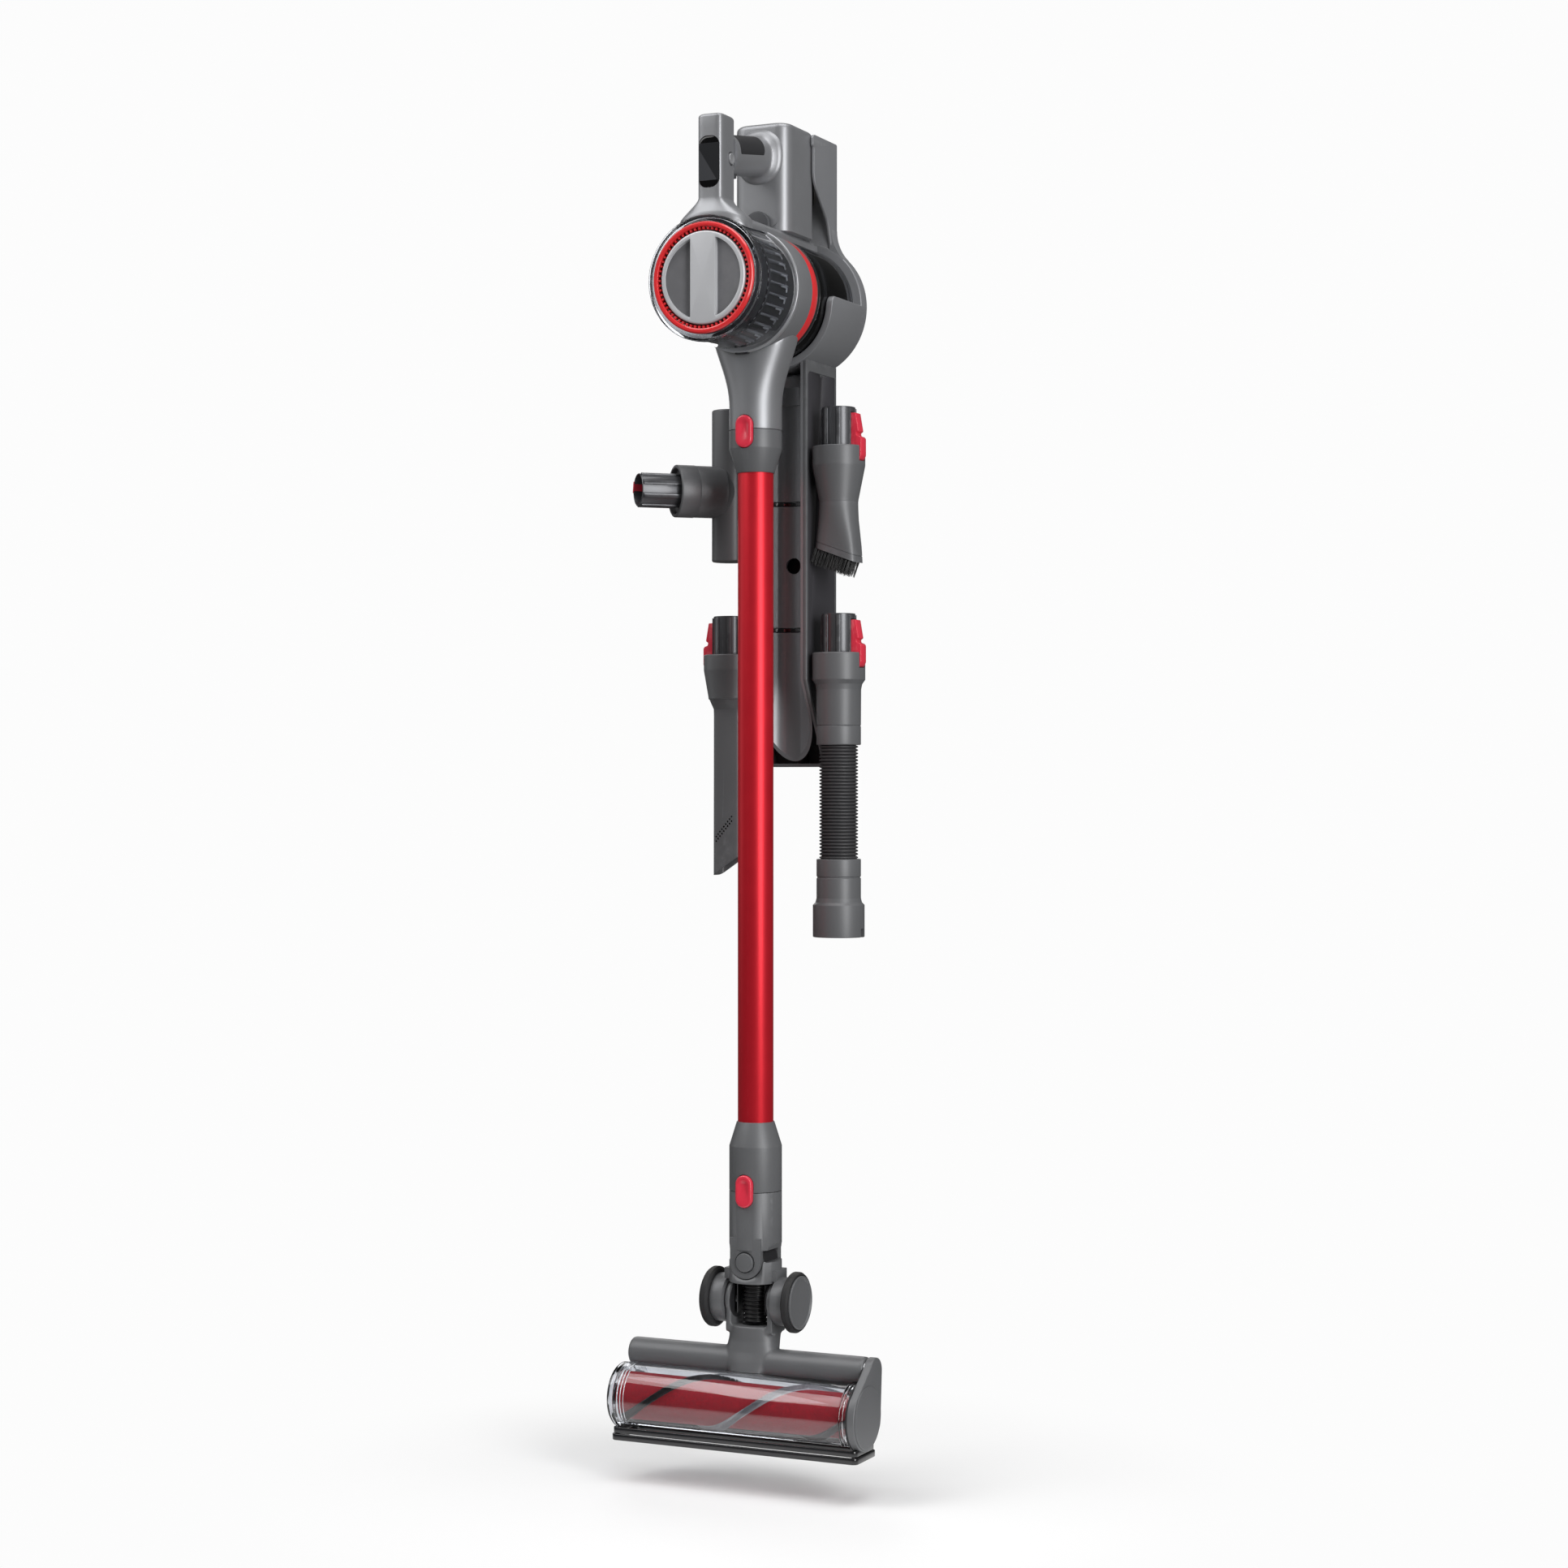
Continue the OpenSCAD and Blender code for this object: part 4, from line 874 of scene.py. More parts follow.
def ringOfCopies(shape, name, count, y, material=None):
    # copies of a shape turned round the cup's axis, as one piece
    values = {"Count": count, "Centre": (0, y, cupZ), "Full Turn": (0, tau, 0)}
    if material:
        values["Material"] = material
    ring = useTree(shape, repeatRound, values)
    ring.name = name
    return ring


def aroundCup(name, profile, around=144, soft=0.0004, steps=3, arc=None):
    return lathe(name, "Y", (0, cupZ), profile, around, soft, steps, arc)


def rawSlab(name, outline, plane, start, end, centre=(0, 0)):
    # a sharp-edged slab to cut or build with
    return tidyMesh(slab(name, outline, plane, start, end, 0, centre))


repeatRound = repeatRoundTree()
repeatAlong = repeatAlongTree()
spiralBristles = spiralBristleTree()
bristleField = bristleFieldTree()

# dust cup and its front
print("dust cup")
cupLook = {"wall": 2.4*mm, "lip": 3.4*mm, "lipOut": 6*mm, "step": 0.7*mm, "teeth": 64,
    "cycloneRibs": 28, "slots": 40, "knobSoft": 1.6*mm, "ringWide": 4.4*mm, "knob": 41.2*mm,
    "bar": 12.2*mm, "recessDeep": 5.6*mm, "hookBack": 10*mm}


def makeDustCup():
    front, back = endsOf("dust_cup", 1)
    inner = halfSize("red_ring", 0)
    lip = front + cupLook["lip"]
    wall = cupR - cupLook["wall"]
    step = cupR - cupLook["step"]
    cup = aroundCup("dust_cup_shell", [(inner, front), (cupR, front),
        (cupR, front + cupLook["lipOut"]), (step, front + cupLook["lipOut"] + mm), (step, back),
        (wall - 0.2*mm, back), (wall - 0.2*mm, lip), (inner, lip)], soft=0.9*mm)
    return settle(cup, "vacuum", clearCup, "dust_cup")


def makeRedRing():
    front, back = endsOf("red_ring", 1)
    outer = halfSize("red_ring", 0)
    inner = outer - cupLook["ringWide"]
    seal = aroundCup("cup_seal", section(outer - 0.9*mm, outer + 0.2*mm, front + 3.2*mm,
        front + 5.5*mm), soft=0.2*mm)
    settle(seal, "vacuum", darkShell)
    ring = aroundCup("front_red_ring", [(inner, front + 0.6*mm), (inner + 1.2*mm, front),
        (outer - 1.2*mm, front), (outer, front + 1.4*mm), (outer, back), (inner, back)],
        soft=0.5*mm)
    return settle(ring, "vacuum", redGloss, "red_ring")


def recessShape(name, outline, reach, bar, outer):
    # the pocket is deepest beside the bar and runs out towards the rim
    front = low("front_knob", 1)
    rings = []
    for depth, extra in reach:
        ring = []
        for p in outline:
            share = (abs(p.x) - bar) / (outer - bar)
            sink = between(cupLook["recessDeep"], 0.9*mm, share) if depth == "floor" else 0
            ring.append(Vector((p.x, front + sink + extra, cupZ + p.y)))
        rings.append(ring)
    return loft(name, rings, shadeAngle=50)


def makeKnob():
    front, back = endsOf("front_knob", 1)
    outer = cupLook["knob"]
    knob = aroundCup("filter_knob_cap", section(0, outer, front, back), soft=cupLook["knobSoft"],
        steps=5)
    recess = outer - 4.2*mm
    bar = cupLook["bar"]
    start = asin(bar / recess)
    for side in (-1, 1):
        arc = [Vector((side * recess * cos(a), recess * sin(a)))
            for a in [-pi / 2 + start + (pi - 2 * start) * k / 40 for k in range(41)]]
        outline = roundCorners(arc, [3*mm] + [0] * 39 + [3*mm], 5)
        cutter = recessShape("recess", outline, (("open", -mm), ("floor", 0)), bar, recess)
        combine(knob, [tidyMesh(cutter)])
        # a darker pad lies on each pocket floor: painted shade in the pocket
        pad = [p * 0.992 for p in outline]
        floor = recessShape("knob_recess_" + ("left" if side < 0 else "right"), pad,
            (("floor", -0.15*mm), ("floor", 0.3*mm)), bar, recess)
        settle(floor, "filter_knob", knobRecessShade)
    softenEdges(knob, 0.5*mm, 3, 50)
    return settle(knob, "filter_knob", knobShell, "front_knob")


def makeFrontFilter():
    front, back = endsOf("front_filter", 1)
    outer = halfSize("front_filter", 0)
    hole = 30*mm
    body = aroundCup("front_filter_body", [(0, front), (outer - 0.5*mm, front),
        (outer - 0.5*mm, back), (hole, back), (hole, front + 6*mm), (0, front + 6*mm)],
        around=120, soft=0.6*mm)
    settle(body, "filter_knob", darkShell, "front_filter", slotName="filter_foam")
    # the dark toothed gap round the knob
    knobR = cupLook["knob"]
    gap = halfSize("red_ring", 0) - cupLook["ringWide"] - knobR - 0.5*mm
    ringFront = low("red_ring", 1)
    tooth = loft("gap_teeth", [placed(roundedBox(1.7*mm, gap * 0.72, 0.3*mm, 2), "XZ", y,
        (0, cupZ + knobR + 0.35*mm + gap * 0.62)) for y in (ringFront + 1.6*mm, front + 0.2*mm)])
    teeth = ringOfCopies(tooth, "gap_teeth", cupLook["teeth"], front, redGloss)
    settle(softShade(teeth), "filter_knob", redGloss)


def makeCyclone():
    front, back = endsOf("cyclone_core", 1)
    flange = halfSize("cyclone_core", 0)
    shroud, ribR, rim = 39*mm, 42*mm, 45*mm
    core = aroundCup("cyclone_shroud", [(shroud - 4*mm, front), (rim, front), (rim, front + 3*mm),
        (shroud, front + 5*mm), (shroud, back - 9*mm), (rim + 4*mm, back - 5*mm),
        (flange, back - 4*mm), (flange, back), (shroud - 14*mm, back),
        (shroud - 14*mm, back - 4*mm), (shroud - 4*mm, back - 5*mm)], soft=0.6*mm)
    settle(core, "vacuum", darkShell, "cyclone_core")
    rib = loft("cyclone_rib", [placed(roundedBox(1.5*mm, 4.4*mm, 0.5*mm, 3), "XZ", y,
        (0, cupZ + ribR - 2.2*mm)) for y in (front + 3*mm, back - 7*mm)])
    ribs = ringOfCopies(rib, "cyclone_ribs", cupLook["cycloneRibs"], front, greyShell)
    settle(softShade(ribs), "vacuum", greyShell)
    # pale silver hook shapes close each rib near the seam: a painted highlight at each rib's end
    tip = back - cupLook["hookBack"]
    ends = [(0.75*mm, tip - 11*mm), (2.1*mm, tip - 11*mm), (2.1*mm, tip - 1.6*mm),
        (5.2*mm, tip - 1.6*mm), (5.2*mm, tip), (0.75*mm, tip)]
    hook = slab("cyclone_rib_glint", roundCorners(ends, [0.3*mm, 0.3*mm, 1.2*mm, 0.5*mm, 0.5*mm,
        1.5*mm], 3), "XY", cupZ + ribR - 1.2*mm, cupZ + ribR + 0.5*mm, 0.3*mm)
    ribGlints = ringOfCopies(hook, "cyclone_rib_glints", cupLook["cycloneRibs"], front, paleSilver)
    settle(softShade(ribGlints), "vacuum", paleSilver)
    slot = loft("cyclone_slot", [placed(roundedBox(2.6*mm, 0.5*mm, 0.2*mm, 2), "XZ", y,
        (0, cupZ + rim - 1.5*mm)) for y in (front - 0.25*mm, front + 0.15*mm)])
    slots = ringOfCopies(slot, "cyclone_slots", cupLook["slots"], front, paleSilver)
    settle(softShade(slots), "vacuum", paleSilver)


makeDustCup()
makeRedRing()
makeKnob()
makeFrontFilter()
makeCyclone()

# housing, handle and battery
print("housing and handle")


housing = {"railHalf": 26*mm, "railUpper": 22*mm, "railStep": 3*mm, "collarHalf": 33*mm,
    "collarDepth": 20*mm, "collarRise": 15*mm, "collarLip": 2.2*mm, "collarDrop": 5.2*mm,
    "postPower": 5.0, "topSoft": 3.2*mm}


def cupCutter(radius, start, end):
    return aroundCup("cupCutter", section(0, radius, start, end), soft=0)


def makeHousing():
    start, end = high("seam_ring", 1), low("red_band", 1)
    railTop = low("battery_case", 2)
    ring = aroundCup("housing_ring", [(cupR - 6*mm, start), (cupR, start), (cupR, end - 0.2*mm),
        (cupR - 2*mm, end), (cupR - 6*mm, end)], soft=0.6*mm)
    settle(ring, "vacuum", silverShell, "main_housing", slotName="grey_plastic")
    wall = aroundCup("housing_wall", section(12*mm, cupR - 5.5*mm, end - 3*mm, end), around=96,
        soft=0.4*mm)
    settle(wall, "vacuum", darkShell)
    front, back = low("main_housing", 1) + 8*mm, high("main_housing", 1)
    base = railTop - 11*mm
    step = railTop - housing["railStep"]
    half, upper = housing["railHalf"], housing["railUpper"]
    outline = roundCorners([(-half, base), (half, base), (half, step),
        (upper + mm, step + 0.4*mm), (upper, railTop), (-upper, railTop),
        (-upper - mm, step + 0.4*mm), (-half, step)], [0, 0, 1.6*mm, 0.6*mm, 1.2*mm, 1.2*mm,
        0.6*mm, 1.6*mm], 4)
    rail = loft("top_rail", [placed(outline, "XZ", front + 6*mm), placed(outline, "XZ", back)])
    combine(rail, [cupCutter(cupR + 0.1*mm, front - 0.1, start),
        cupCutter(cupR - 1*mm, start - mm, end)])
    softenEdges(rail, 0.5*mm, 3)
    settle(rail, "vacuum", silverShell)


def makeShoulder():
    # the saddle that carries the post and hugs the top of the cup back to the rail
    first, last = low("handle_post", 1) - 1.5*mm, high("seam_ring", 1) + 6*mm
    rings = []
    for k in range(25):
        share = k / 24
        y = between(first, last, share)
        nose = sqrt(max(0.02, 1 - max(0, 1 - share / 0.16) ** 2))
        half = radians(between(37, 27, ease(share))) * nose
        tall = between(4.6, 6.2, share)*mm * nose
        outer, inner = [], []
        for i in range(33):
            turn = half * (-1 + i / 16)
            lift = cupR + 0.2*mm + tall * (1 - abs(turn / half) ** 5) ** 0.5
            outer.append(Vector((lift * sin(turn), y, cupZ + lift * cos(turn))))
            inner.append(Vector(((cupR - 0.3*mm) * sin(turn), y,
                cupZ + (cupR - 0.3*mm) * cos(turn))))
        rings.append(outer + list(reversed(inner)))
    settle(loft("post_shoulder", rings, shadeAngle=55), "vacuum", silverShell)


def makePost():
    bottom, top = endsOf("handle_post", 2)
    centreY = middle("handle_post", 1)
    halfW, halfD = 12.5*mm, 15*mm
    rings = []
    rise = housing["collarRise"]
    skin = cupR + 1.2*mm
    for k in range(-1, 15):
        share = max(0, k) / 14
        flare = (1 - share) ** 1.9
        a = halfW + (housing["collarHalf"] - halfW) * flare
        d = halfD + (housing["collarDepth"] - halfD) * flare
        outline = superOutline(a, d, between(2.6, housing["postPower"], ease(share)), 96)
        ring = []
        for p in outline:
            lip = (cupZ + cupR + housing["collarLip"] - housing["collarDrop"]
                * (p.x / housing["collarHalf"]) ** 2)
            z = between(lip, bottom + rise, share ** 0.8)
            if k < 0:
                z = cupZ + sqrt(skin ** 2 - p.x ** 2) - 1.2*mm
            ring.append(Vector((p.x, centreY + p.y, z)))
        rings.append(ring)
    for k in range(1, 9):
        z = between(bottom + rise, top - housing["topSoft"], k / 8)
        rings.append([Vector((p.x, centreY + p.y, z)) for p in superOutline(halfW, halfD,
            housing["postPower"], 96)])
    for k in range(1, 7):
        angle = pi / 2 * k / 6
        inset = housing["topSoft"] * (1 - cos(angle))
        z = top - housing["topSoft"] * (1 - sin(angle))
        rings.append([Vector((p.x, centreY + p.y, z)) for p in superOutline(halfW - inset,
            halfD - inset, housing["postPower"], 96)])
    post = loft("handle_post_shell", rings, shadeAngle=60)
    screenZ, front = middle("screen", 2), low("handle_post", 1) + 3*mm
    window = roundedBox(20.4*mm, 46*mm, 8*mm, 8)
    cutter = loft("windowCut", [placed(window, "XZ", y, (0, screenZ))
        for y in (front - 4*mm, front + 1.9*mm)])
    dimple = lathe("dimple", "X", (middle("lock_button", 1), middle("lock_button", 2)),
        [(0, halfW - 5.6*mm), (5.3*mm, halfW - 5.6*mm), (5.3*mm, halfW - 3.6*mm),
        (6.6*mm, halfW + mm), (0, halfW + mm)], 48, 0)
    combine(post, [cutter, dimple])
    softShade(post, 50)
    settle(post, "vacuum", silverShell, "handle_post")
    glass = roundedBox(20*mm, 45.6*mm, 7.8*mm, 8)
    rings = [placed(glass, "XZ", front + 1.8*mm, (0, screenZ)),
        placed(glass, "XZ", front + 0.8*mm, (0, screenZ)), placed([p * 0.985 for p in glass],
        "XZ", front + 0.45*mm, (0, screenZ)), placed([p * 0.9 for p in glass], "XZ",
        front + 0.3*mm, (0, screenZ))]
    settle(loft("screen_pane", list(reversed(rings)), shadeAngle=50), "vacuum", screenGlass,
        "screen")


gripShape = {"halfWidth": 14.5*mm, "halfHeight": 18*mm, "flareWidth": 23*mm, "flareHeight": 25*mm,
    "flareLength": 8*mm, "power": 2.3, "drop": 4*mm, "rise": 8*mm}


def gripPoint(y, angle, lift=0.0):
    start, end = endsOf("grip", 1)
    flare = ease(1 - (end - y) / gripShape["flareLength"]) ** 1.5
    root = 0.35 * ease(1 - (y - start) / (5*mm))
    a = between(gripShape["halfWidth"], gripShape["flareWidth"], flare) + lift
    b = between(gripShape["halfHeight"], gripShape["flareHeight"], flare + root * 0.4) + lift
    c, s = cos(angle), sin(angle)
    power = 2 / gripShape["power"]
    axis = middle("grip", 2) + between(-gripShape["drop"], gripShape["rise"],
        (y - start) / (end - start))
    return Vector((copysign(abs(c) ** power, c) * a, y, axis + copysign(abs(s) ** power, s) * b))


def makeGrip():
    start, end = low("grip", 1) - mm, high("grip", 1) + mm
    rings = [[gripPoint(between(start, end, k / 40), tau * i / 72) for i in range(72)]
        for k in range(41)]
    grip = loft("grip_shell", rings, shadeAngle=60)
    tidyMesh(grip)
    slotY, slotZ = middle("trigger", 1), low("grip", 2)
    slot = rawSlab("triggerSlot", roundedBox(11.2*mm, 16*mm, 2*mm), "XY", slotZ - 10*mm,
        slotZ + 10.4*mm, (0, slotY))
    combine(grip, [slot])
    softShade(grip, 50)
    settle(grip, "vacuum", silverShell, "grip")
    # the rubber lies over the upper half with rounded ends
    first, last = low("grip_rubber", 1), high("grip_rubber", 1) - 0.4*mm
    spread, corner = radians(94), 5*mm
    rows, columns = 40, 44
    points, faces = [], []
    for layer in (0, 1):
        for i in range(rows + 1):
            u = -1 + 2 * i / rows
            bend = corner * (1 - sqrt(1 - (max(0, abs(u) - 0.75) / 0.25) ** 2))
            for k in range(columns + 1):
                v = k / columns
                y = between(first + bend * 0.4, last - bend, v)
                border = min(1.0, (1 - abs(u)) * 9, v * 14, (1 - v) * 14)
                lift = 0.75*mm * ease(border) - 0.25*mm if layer == 0 else -1.2*mm
                points.append(gripPoint(y, pi / 2 + spread * u, lift))
    size = (rows + 1) * (columns + 1)
    for i in range(rows):
        for k in range(columns):
            a = i * (columns + 1) + k
            b = a + columns + 1
            faces.append((a, a + 1, b + 1, b))
            faces.append((size + a, size + b, size + b + 1, size + a + 1))
    rim = ([k for k in range(columns)] + [i * (columns + 1) + columns for i in range(rows)]
        + [rows * (columns + 1) + k for k in range(columns, 0, -1)]
        + [i * (columns + 1) for i in range(rows, 0, -1)])
    for n, a in enumerate(rim):
        b = rim[(n + 1) % len(rim)]
        faces.append((a, size + a, size + b, b))
    rubber = softShade(tidyMesh(addPiece("grip_rubber_pad", points, faces)), 55)
    settle(rubber, "vacuum", softRubber, "grip_rubber")


def makeTrigger():
    (y0, y1), (z0, z1) = [endsOf("trigger", axis) for axis in (1, 2)]
    outline = roundCorners([(y0, z1), (y0, z0 + 0.5*mm), (y0 + 2.6*mm, z0),
        (y0 + 5*mm, z0 + 2.6*mm), (y0 + 9*mm, z0 + 5.4*mm), (y1, z0 + 6.6*mm), (y1, z1)],
        [0.8*mm, 2*mm, 1.2*mm, 4*mm, 4*mm, 1*mm, 0.8*mm], 5)
    trigger = slab("trigger_lever", outline, "YZ", *endsOf("trigger", 0), 0.9*mm)
    settle(trigger, "trigger", darkGrey, "trigger")
    x0, x1, r = low("lock_button", 0), high("lock_button", 0), halfSize("lock_button", 1)
    button = lathe("lock_button_cap", "X", (middle("lock_button", 1), middle("lock_button", 2)),
        [(0, x0), (r, x0), (r, x1 - 0.3*mm), (r - 1.2*mm, x1), (r - 2*mm, x1 - 0.5*mm),
        (0, x1 - 0.9*mm)], 64, 0.35*mm)
    settle(button, "lock_button", paleSilver, "lock_button")


batteryShape = {"corner": 13*mm, "topSoft": 5*mm, "panelWidth": 41*mm, "panelLine": 0.7*mm,
    "panelDepth": 0.7*mm}


def makeBattery():
    bottom, top = endsOf("battery_case", 2)
    width = 2 * halfSize("battery_case", 0)
    front = high("grip", 1)
    depth = 64*mm
    centre = (0, front + depth / 2)
    rings = []
    soft = batteryShape["topSoft"]
    levels = [(bottom, 0.8*mm), (bottom + 0.8*mm, 0)]
    levels += [(between(bottom + 0.8*mm, top - soft, k / 6), 0) for k in range(1, 7)]
    levels += [(top - soft * (1 - sin(a)), soft * (1 - cos(a)))
        for a in [pi / 2 * k / 7 for k in range(1, 8)]]
    for z, inset in levels:
        rings.append(placed(roundedBox(width - 2 * inset, depth - 2 * inset,
            batteryShape["corner"] - inset * 0.5, 10), "XY", z, centre))
    case = loft("battery_shell", rings, shadeAngle=50)
    panelLow, panelHigh = bottom + 3*mm, high("grip", 2) + 6*mm
    panelMid = (panelLow + panelHigh) / 2
    line = batteryShape["panelLine"]
    wide, tall = batteryShape["panelWidth"], panelHigh - panelLow
    outer = loft("panelOuter", [placed(roundedBox(wide, tall, 12*mm, 8), "XZ", y, (0, panelMid))
        for y in (front - mm, front + batteryShape["panelDepth"])])
    inner = loft("panelInner", [placed(roundedBox(wide - 2 * line, tall - 2 * line, 11.4*mm, 8),
        "XZ", y, (0, panelMid)) for y in (front - 2*mm, front + 2*mm)])
    combine(outer, [inner])
    combine(case, [outer])
    softShade(case, 45)
    settle(case, "vacuum", silverShell, "battery_case")
    hookBack = high("battery_case", 1)
    hook = slab("battery_rail", roundedBox(40*mm, 58*mm, 4*mm), "XZ", front + depth - 2*mm,
        hookBack, 1.2*mm, (0, bottom + 63*mm))
    settle(hook, "vacuum", darkShell)
    tabX = halfSize("battery_tab", 0)
    tabLow = low("battery_tab", 2)
    arc = [Vector((tabX * cos(a), 6*mm + tabX * sin(a))) for a in [pi * k / 32 for k in range(33)]]
    outline = roundCorners([(tabX, 0)] + [tuple(p) for p in arc] + [(-tabX, 0)], 0)
    tab = slab("battery_release_tab", outline, "XZ", *endsOf("battery_tab", 1), 1.4*mm,
        (0, tabLow), 4)
    settle(tab, "battery_tab", darkGrey, "battery_tab")


makeHousing()
makeShoulder()
makePost()
makeGrip()
makeTrigger()
makeBattery()

# rear, inlet and wand
print("rear and wand")
wandLook = {"button": 16.3*mm, "buttonLength": 29.5*mm, "seam": 0.35*mm, "vents": 18,
    "pleats": 60, "blades": 11}


def makeRear():
    a, b = endsOf("seam_ring", 1)
    seam = aroundCup("bright_seam_ring", [(cupR - 2*mm, a), (cupR + 0.6*mm, a + 0.5*mm),
        (cupR + 0.8*mm, (a + b) / 2), (cupR + 0.4*mm, b), (cupR - 2*mm, b)], soft=0.7*mm)
    settle(seam, "vacuum", paleSilver, "seam_ring")
    a, b = endsOf("red_band", 1)
    edge = b - 5.5*mm
    band = aroundCup("red_band_ring", section(cupR - 2.4*mm, cupR - 0.3*mm, a, edge), soft=0.5*mm)
    settle(band, "vacuum", redGloss, "red_band")
    rim = aroundCup("cover_front_rim", section(cupR - 2.4*mm, cupR - 0.1*mm, edge + 0.1*mm,
        b - 0.1*mm), soft=0.4*mm)
    settle(rim, "vacuum", glossyBlack)
    a, b = endsOf("rear_cover", 1)
    inner = cupR - 2.4*mm
    cover = aroundCup("smoked_rear_cover", [(inner, a), (cupR - 0.1*mm, a),
        (cupR - 0.1*mm, b - 4*mm), (cupR - 1.6*mm, b - 1.2*mm), (cupR - 5*mm, b), (0, b),
        (0, b - 3*mm), (inner, b - 3*mm)], soft=0.6*mm)
    slot = loft("ventSlot", [placed(stadium(4*mm, 26*mm, 6), "XZ", y, (0, cupZ + 34*mm))
        for y in (b - 4*mm, b + mm)])
    combine(cover, [ringOfCopies(slot, "vents", wandLook["vents"], b)])
    softShade(cover)
    settle(cover, "vacuum", smokedCover, "rear_cover")
    a, b = endsOf("exhaust_filter", 1)
    outer = halfSize("exhaust_filter", 0)
    hub = 32*mm
    pleat = loft("pleat", [[Vector((x, y, cupZ + r)) for x, r in ((-1.6*mm, hub),
        (-0.3*mm, outer), (0.3*mm, outer), (1.6*mm, hub), (0, hub + mm))]
        for y in (a + 2*mm, b - 2*mm)])
    pleats = ringOfCopies(pleat, "exhaust_pleats", wandLook["pleats"], a, filterPaper)
    settle(pleats, "vacuum", filterPaper, "exhaust_filter")
    frameRing = joinPieces("exhaust_frame", [aroundCup("ringA",
        section(hub - 1.2*mm, outer, y, y + 2.4*mm), 96, 0.4*mm) for y in (a, b - 2.4*mm)])
    settle(softShade(frameRing), "vacuum", darkShell)


def makeMotor():
    a, b = endsOf("motor", 1)
    r = halfSize("motor", 0)
    body = aroundCup("motor_can", [(3.05*mm, a), (r, a), (r, a + 9*mm), (r - 2*mm, a + 10*mm),
        (r - 2*mm, b - 14*mm), (r, b - 13*mm), (r, b - 9*mm), (r - 12*mm, b - 8*mm),
        (r - 14*mm, b), (0, b), (0, a + 12*mm), (3.05*mm, a + 12*mm)], 96, 0.5*mm)
    settle(body, "vacuum", wornSteel, "motor")
    a, b = endsOf("impeller", 1)
    r = halfSize("impeller", 0)
    hub = aroundCup("impeller_hub", [(0, a), (4*mm, a), (9*mm, a + 5*mm), (11*mm, a + 8*mm),
        (r, a + 8.6*mm), (r, a + 10*mm), (3*mm, a + 10*mm), (3*mm, b), (0, b)], 96, 0.4*mm)
    settle(hub, "fan", wornSteel, "impeller")
    curve = [(6*mm + (r - 8*mm) * k / 10, 0.5 * (k / 10) ** 1.5) for k in range(11)]
    rings = []
    for distance, bend in curve:
        side = 0.5*mm
        x, z = distance * sin(bend), distance * cos(bend)
        top = a + between(1*mm, 5*mm, distance / r)
        rings.append([Vector((x - side, top, cupZ + z)), Vector((x + side, top, cupZ + z)),
            Vector((x + side, a + 9*mm, cupZ + z)), Vector((x - side, a + 9*mm, cupZ + z))])
    blades = ringOfCopies(loft("blade", rings), "impeller_blades", wandLook["blades"], a,
        wornSteel)
    settle(blades, "fan", wornSteel)


def makeInlet():
    bottom, top = endsOf("inlet_cone", 2)
    levels = 26
    halfW, halfD = halfSize("inlet_cone", 0) - 0.2*mm, 26*mm
    rings = []
    for k in range(levels + 1):
        share = k / levels
        z = between(bottom, top + 1.5*mm, share)
        flare = ease((share - 0.22) / 0.95) ** 1.15
        a = between(collarR, halfW, flare)
        d = between(collarR, halfD, flare)
        rings.append([Vector((p.x, wandY + p.y, z)) for p in superOutline(a, d,
            between(2.0, 2.7, flare), 96)])
    cone = loft("inlet_shell", rings, shadeAngle=60)
    bore = lathe("bore", "Z", (0, wandY), section(0, tubeR - 3*mm, bottom - mm, bottom + 62*mm),
        64, 0)
    pocket = buttonCutter("wand_button")
    combine(cone, [cupCutter(cupR + 0.1*mm, wandY - 0.2, wandY + 0.2),
        cupCutter(cupR + 0.9*mm, wandY - 0.2, high("seam_ring", 1) + 0.2*mm), bore, pocket])
    softenEdges(cone, 0.5*mm, 3, 40)
    settle(cone, "vacuum", silverShell, "inlet_cone")
    catch = roundCorners([(-7*mm, 0), (7*mm, 0), (6*mm, 4*mm), (-6*mm, 4*mm)], mm)
    latch = slab("cup_catch", catch, "XZ", wandY - 29.5*mm, wandY - 26*mm, 0.6*mm,
        (0, cupZ - cupR - 1.6*mm))
    settle(latch, "vacuum", darkShell)


def buttonCutter(node):
    z, front = middle(node, 2), low(node, 1)
    outline = stadium(wandLook["button"] + 1.2*mm, wandLook["buttonLength"] + 1.2*mm)
    return tidyMesh(loft("buttonCut", [placed(outline, "XZ", y, (0, z))
        for y in (front - 2*mm, front + 10.1*mm)]))


def makeButton(node, name, body):
    z, front, back = middle(node, 2), low(node, 1), high(node, 1)
    full = stadium(wandLook["button"], wandLook["buttonLength"], 16)
    rings = []
    for depth, inset in ((back - front, 0), (1.6*mm, 0), (0.7*mm, 0.3*mm), (0.2*mm, 0.9*mm),
            (0.0, 1.9*mm)):
        shrink = 1 - inset / (wandLook["button"] / 2)
        rings.append([Vector((p.x * shrink, front + depth, z + p.y - copysign(inset, p.y)
            * min(1, abs(p.y) / (wandLook["buttonLength"] / 2)))) for p in full])
    # the finger dish in the upper half
    for share, sink in ((0.72, 0.5), (0.45, 1.6), (0.2, 2.1)):
        centre = Vector((0, front + sink*mm, z + 5.2*mm * (1 - share)))
        rings.append([Vector((centre.x + p.x * share * 0.82, centre.y,
            centre.z + (p.y) * share * 0.8)) for p in full])
    piece = loft(name, rings, shadeAngle=60)
    settle(piece, body, coralGloss, node)


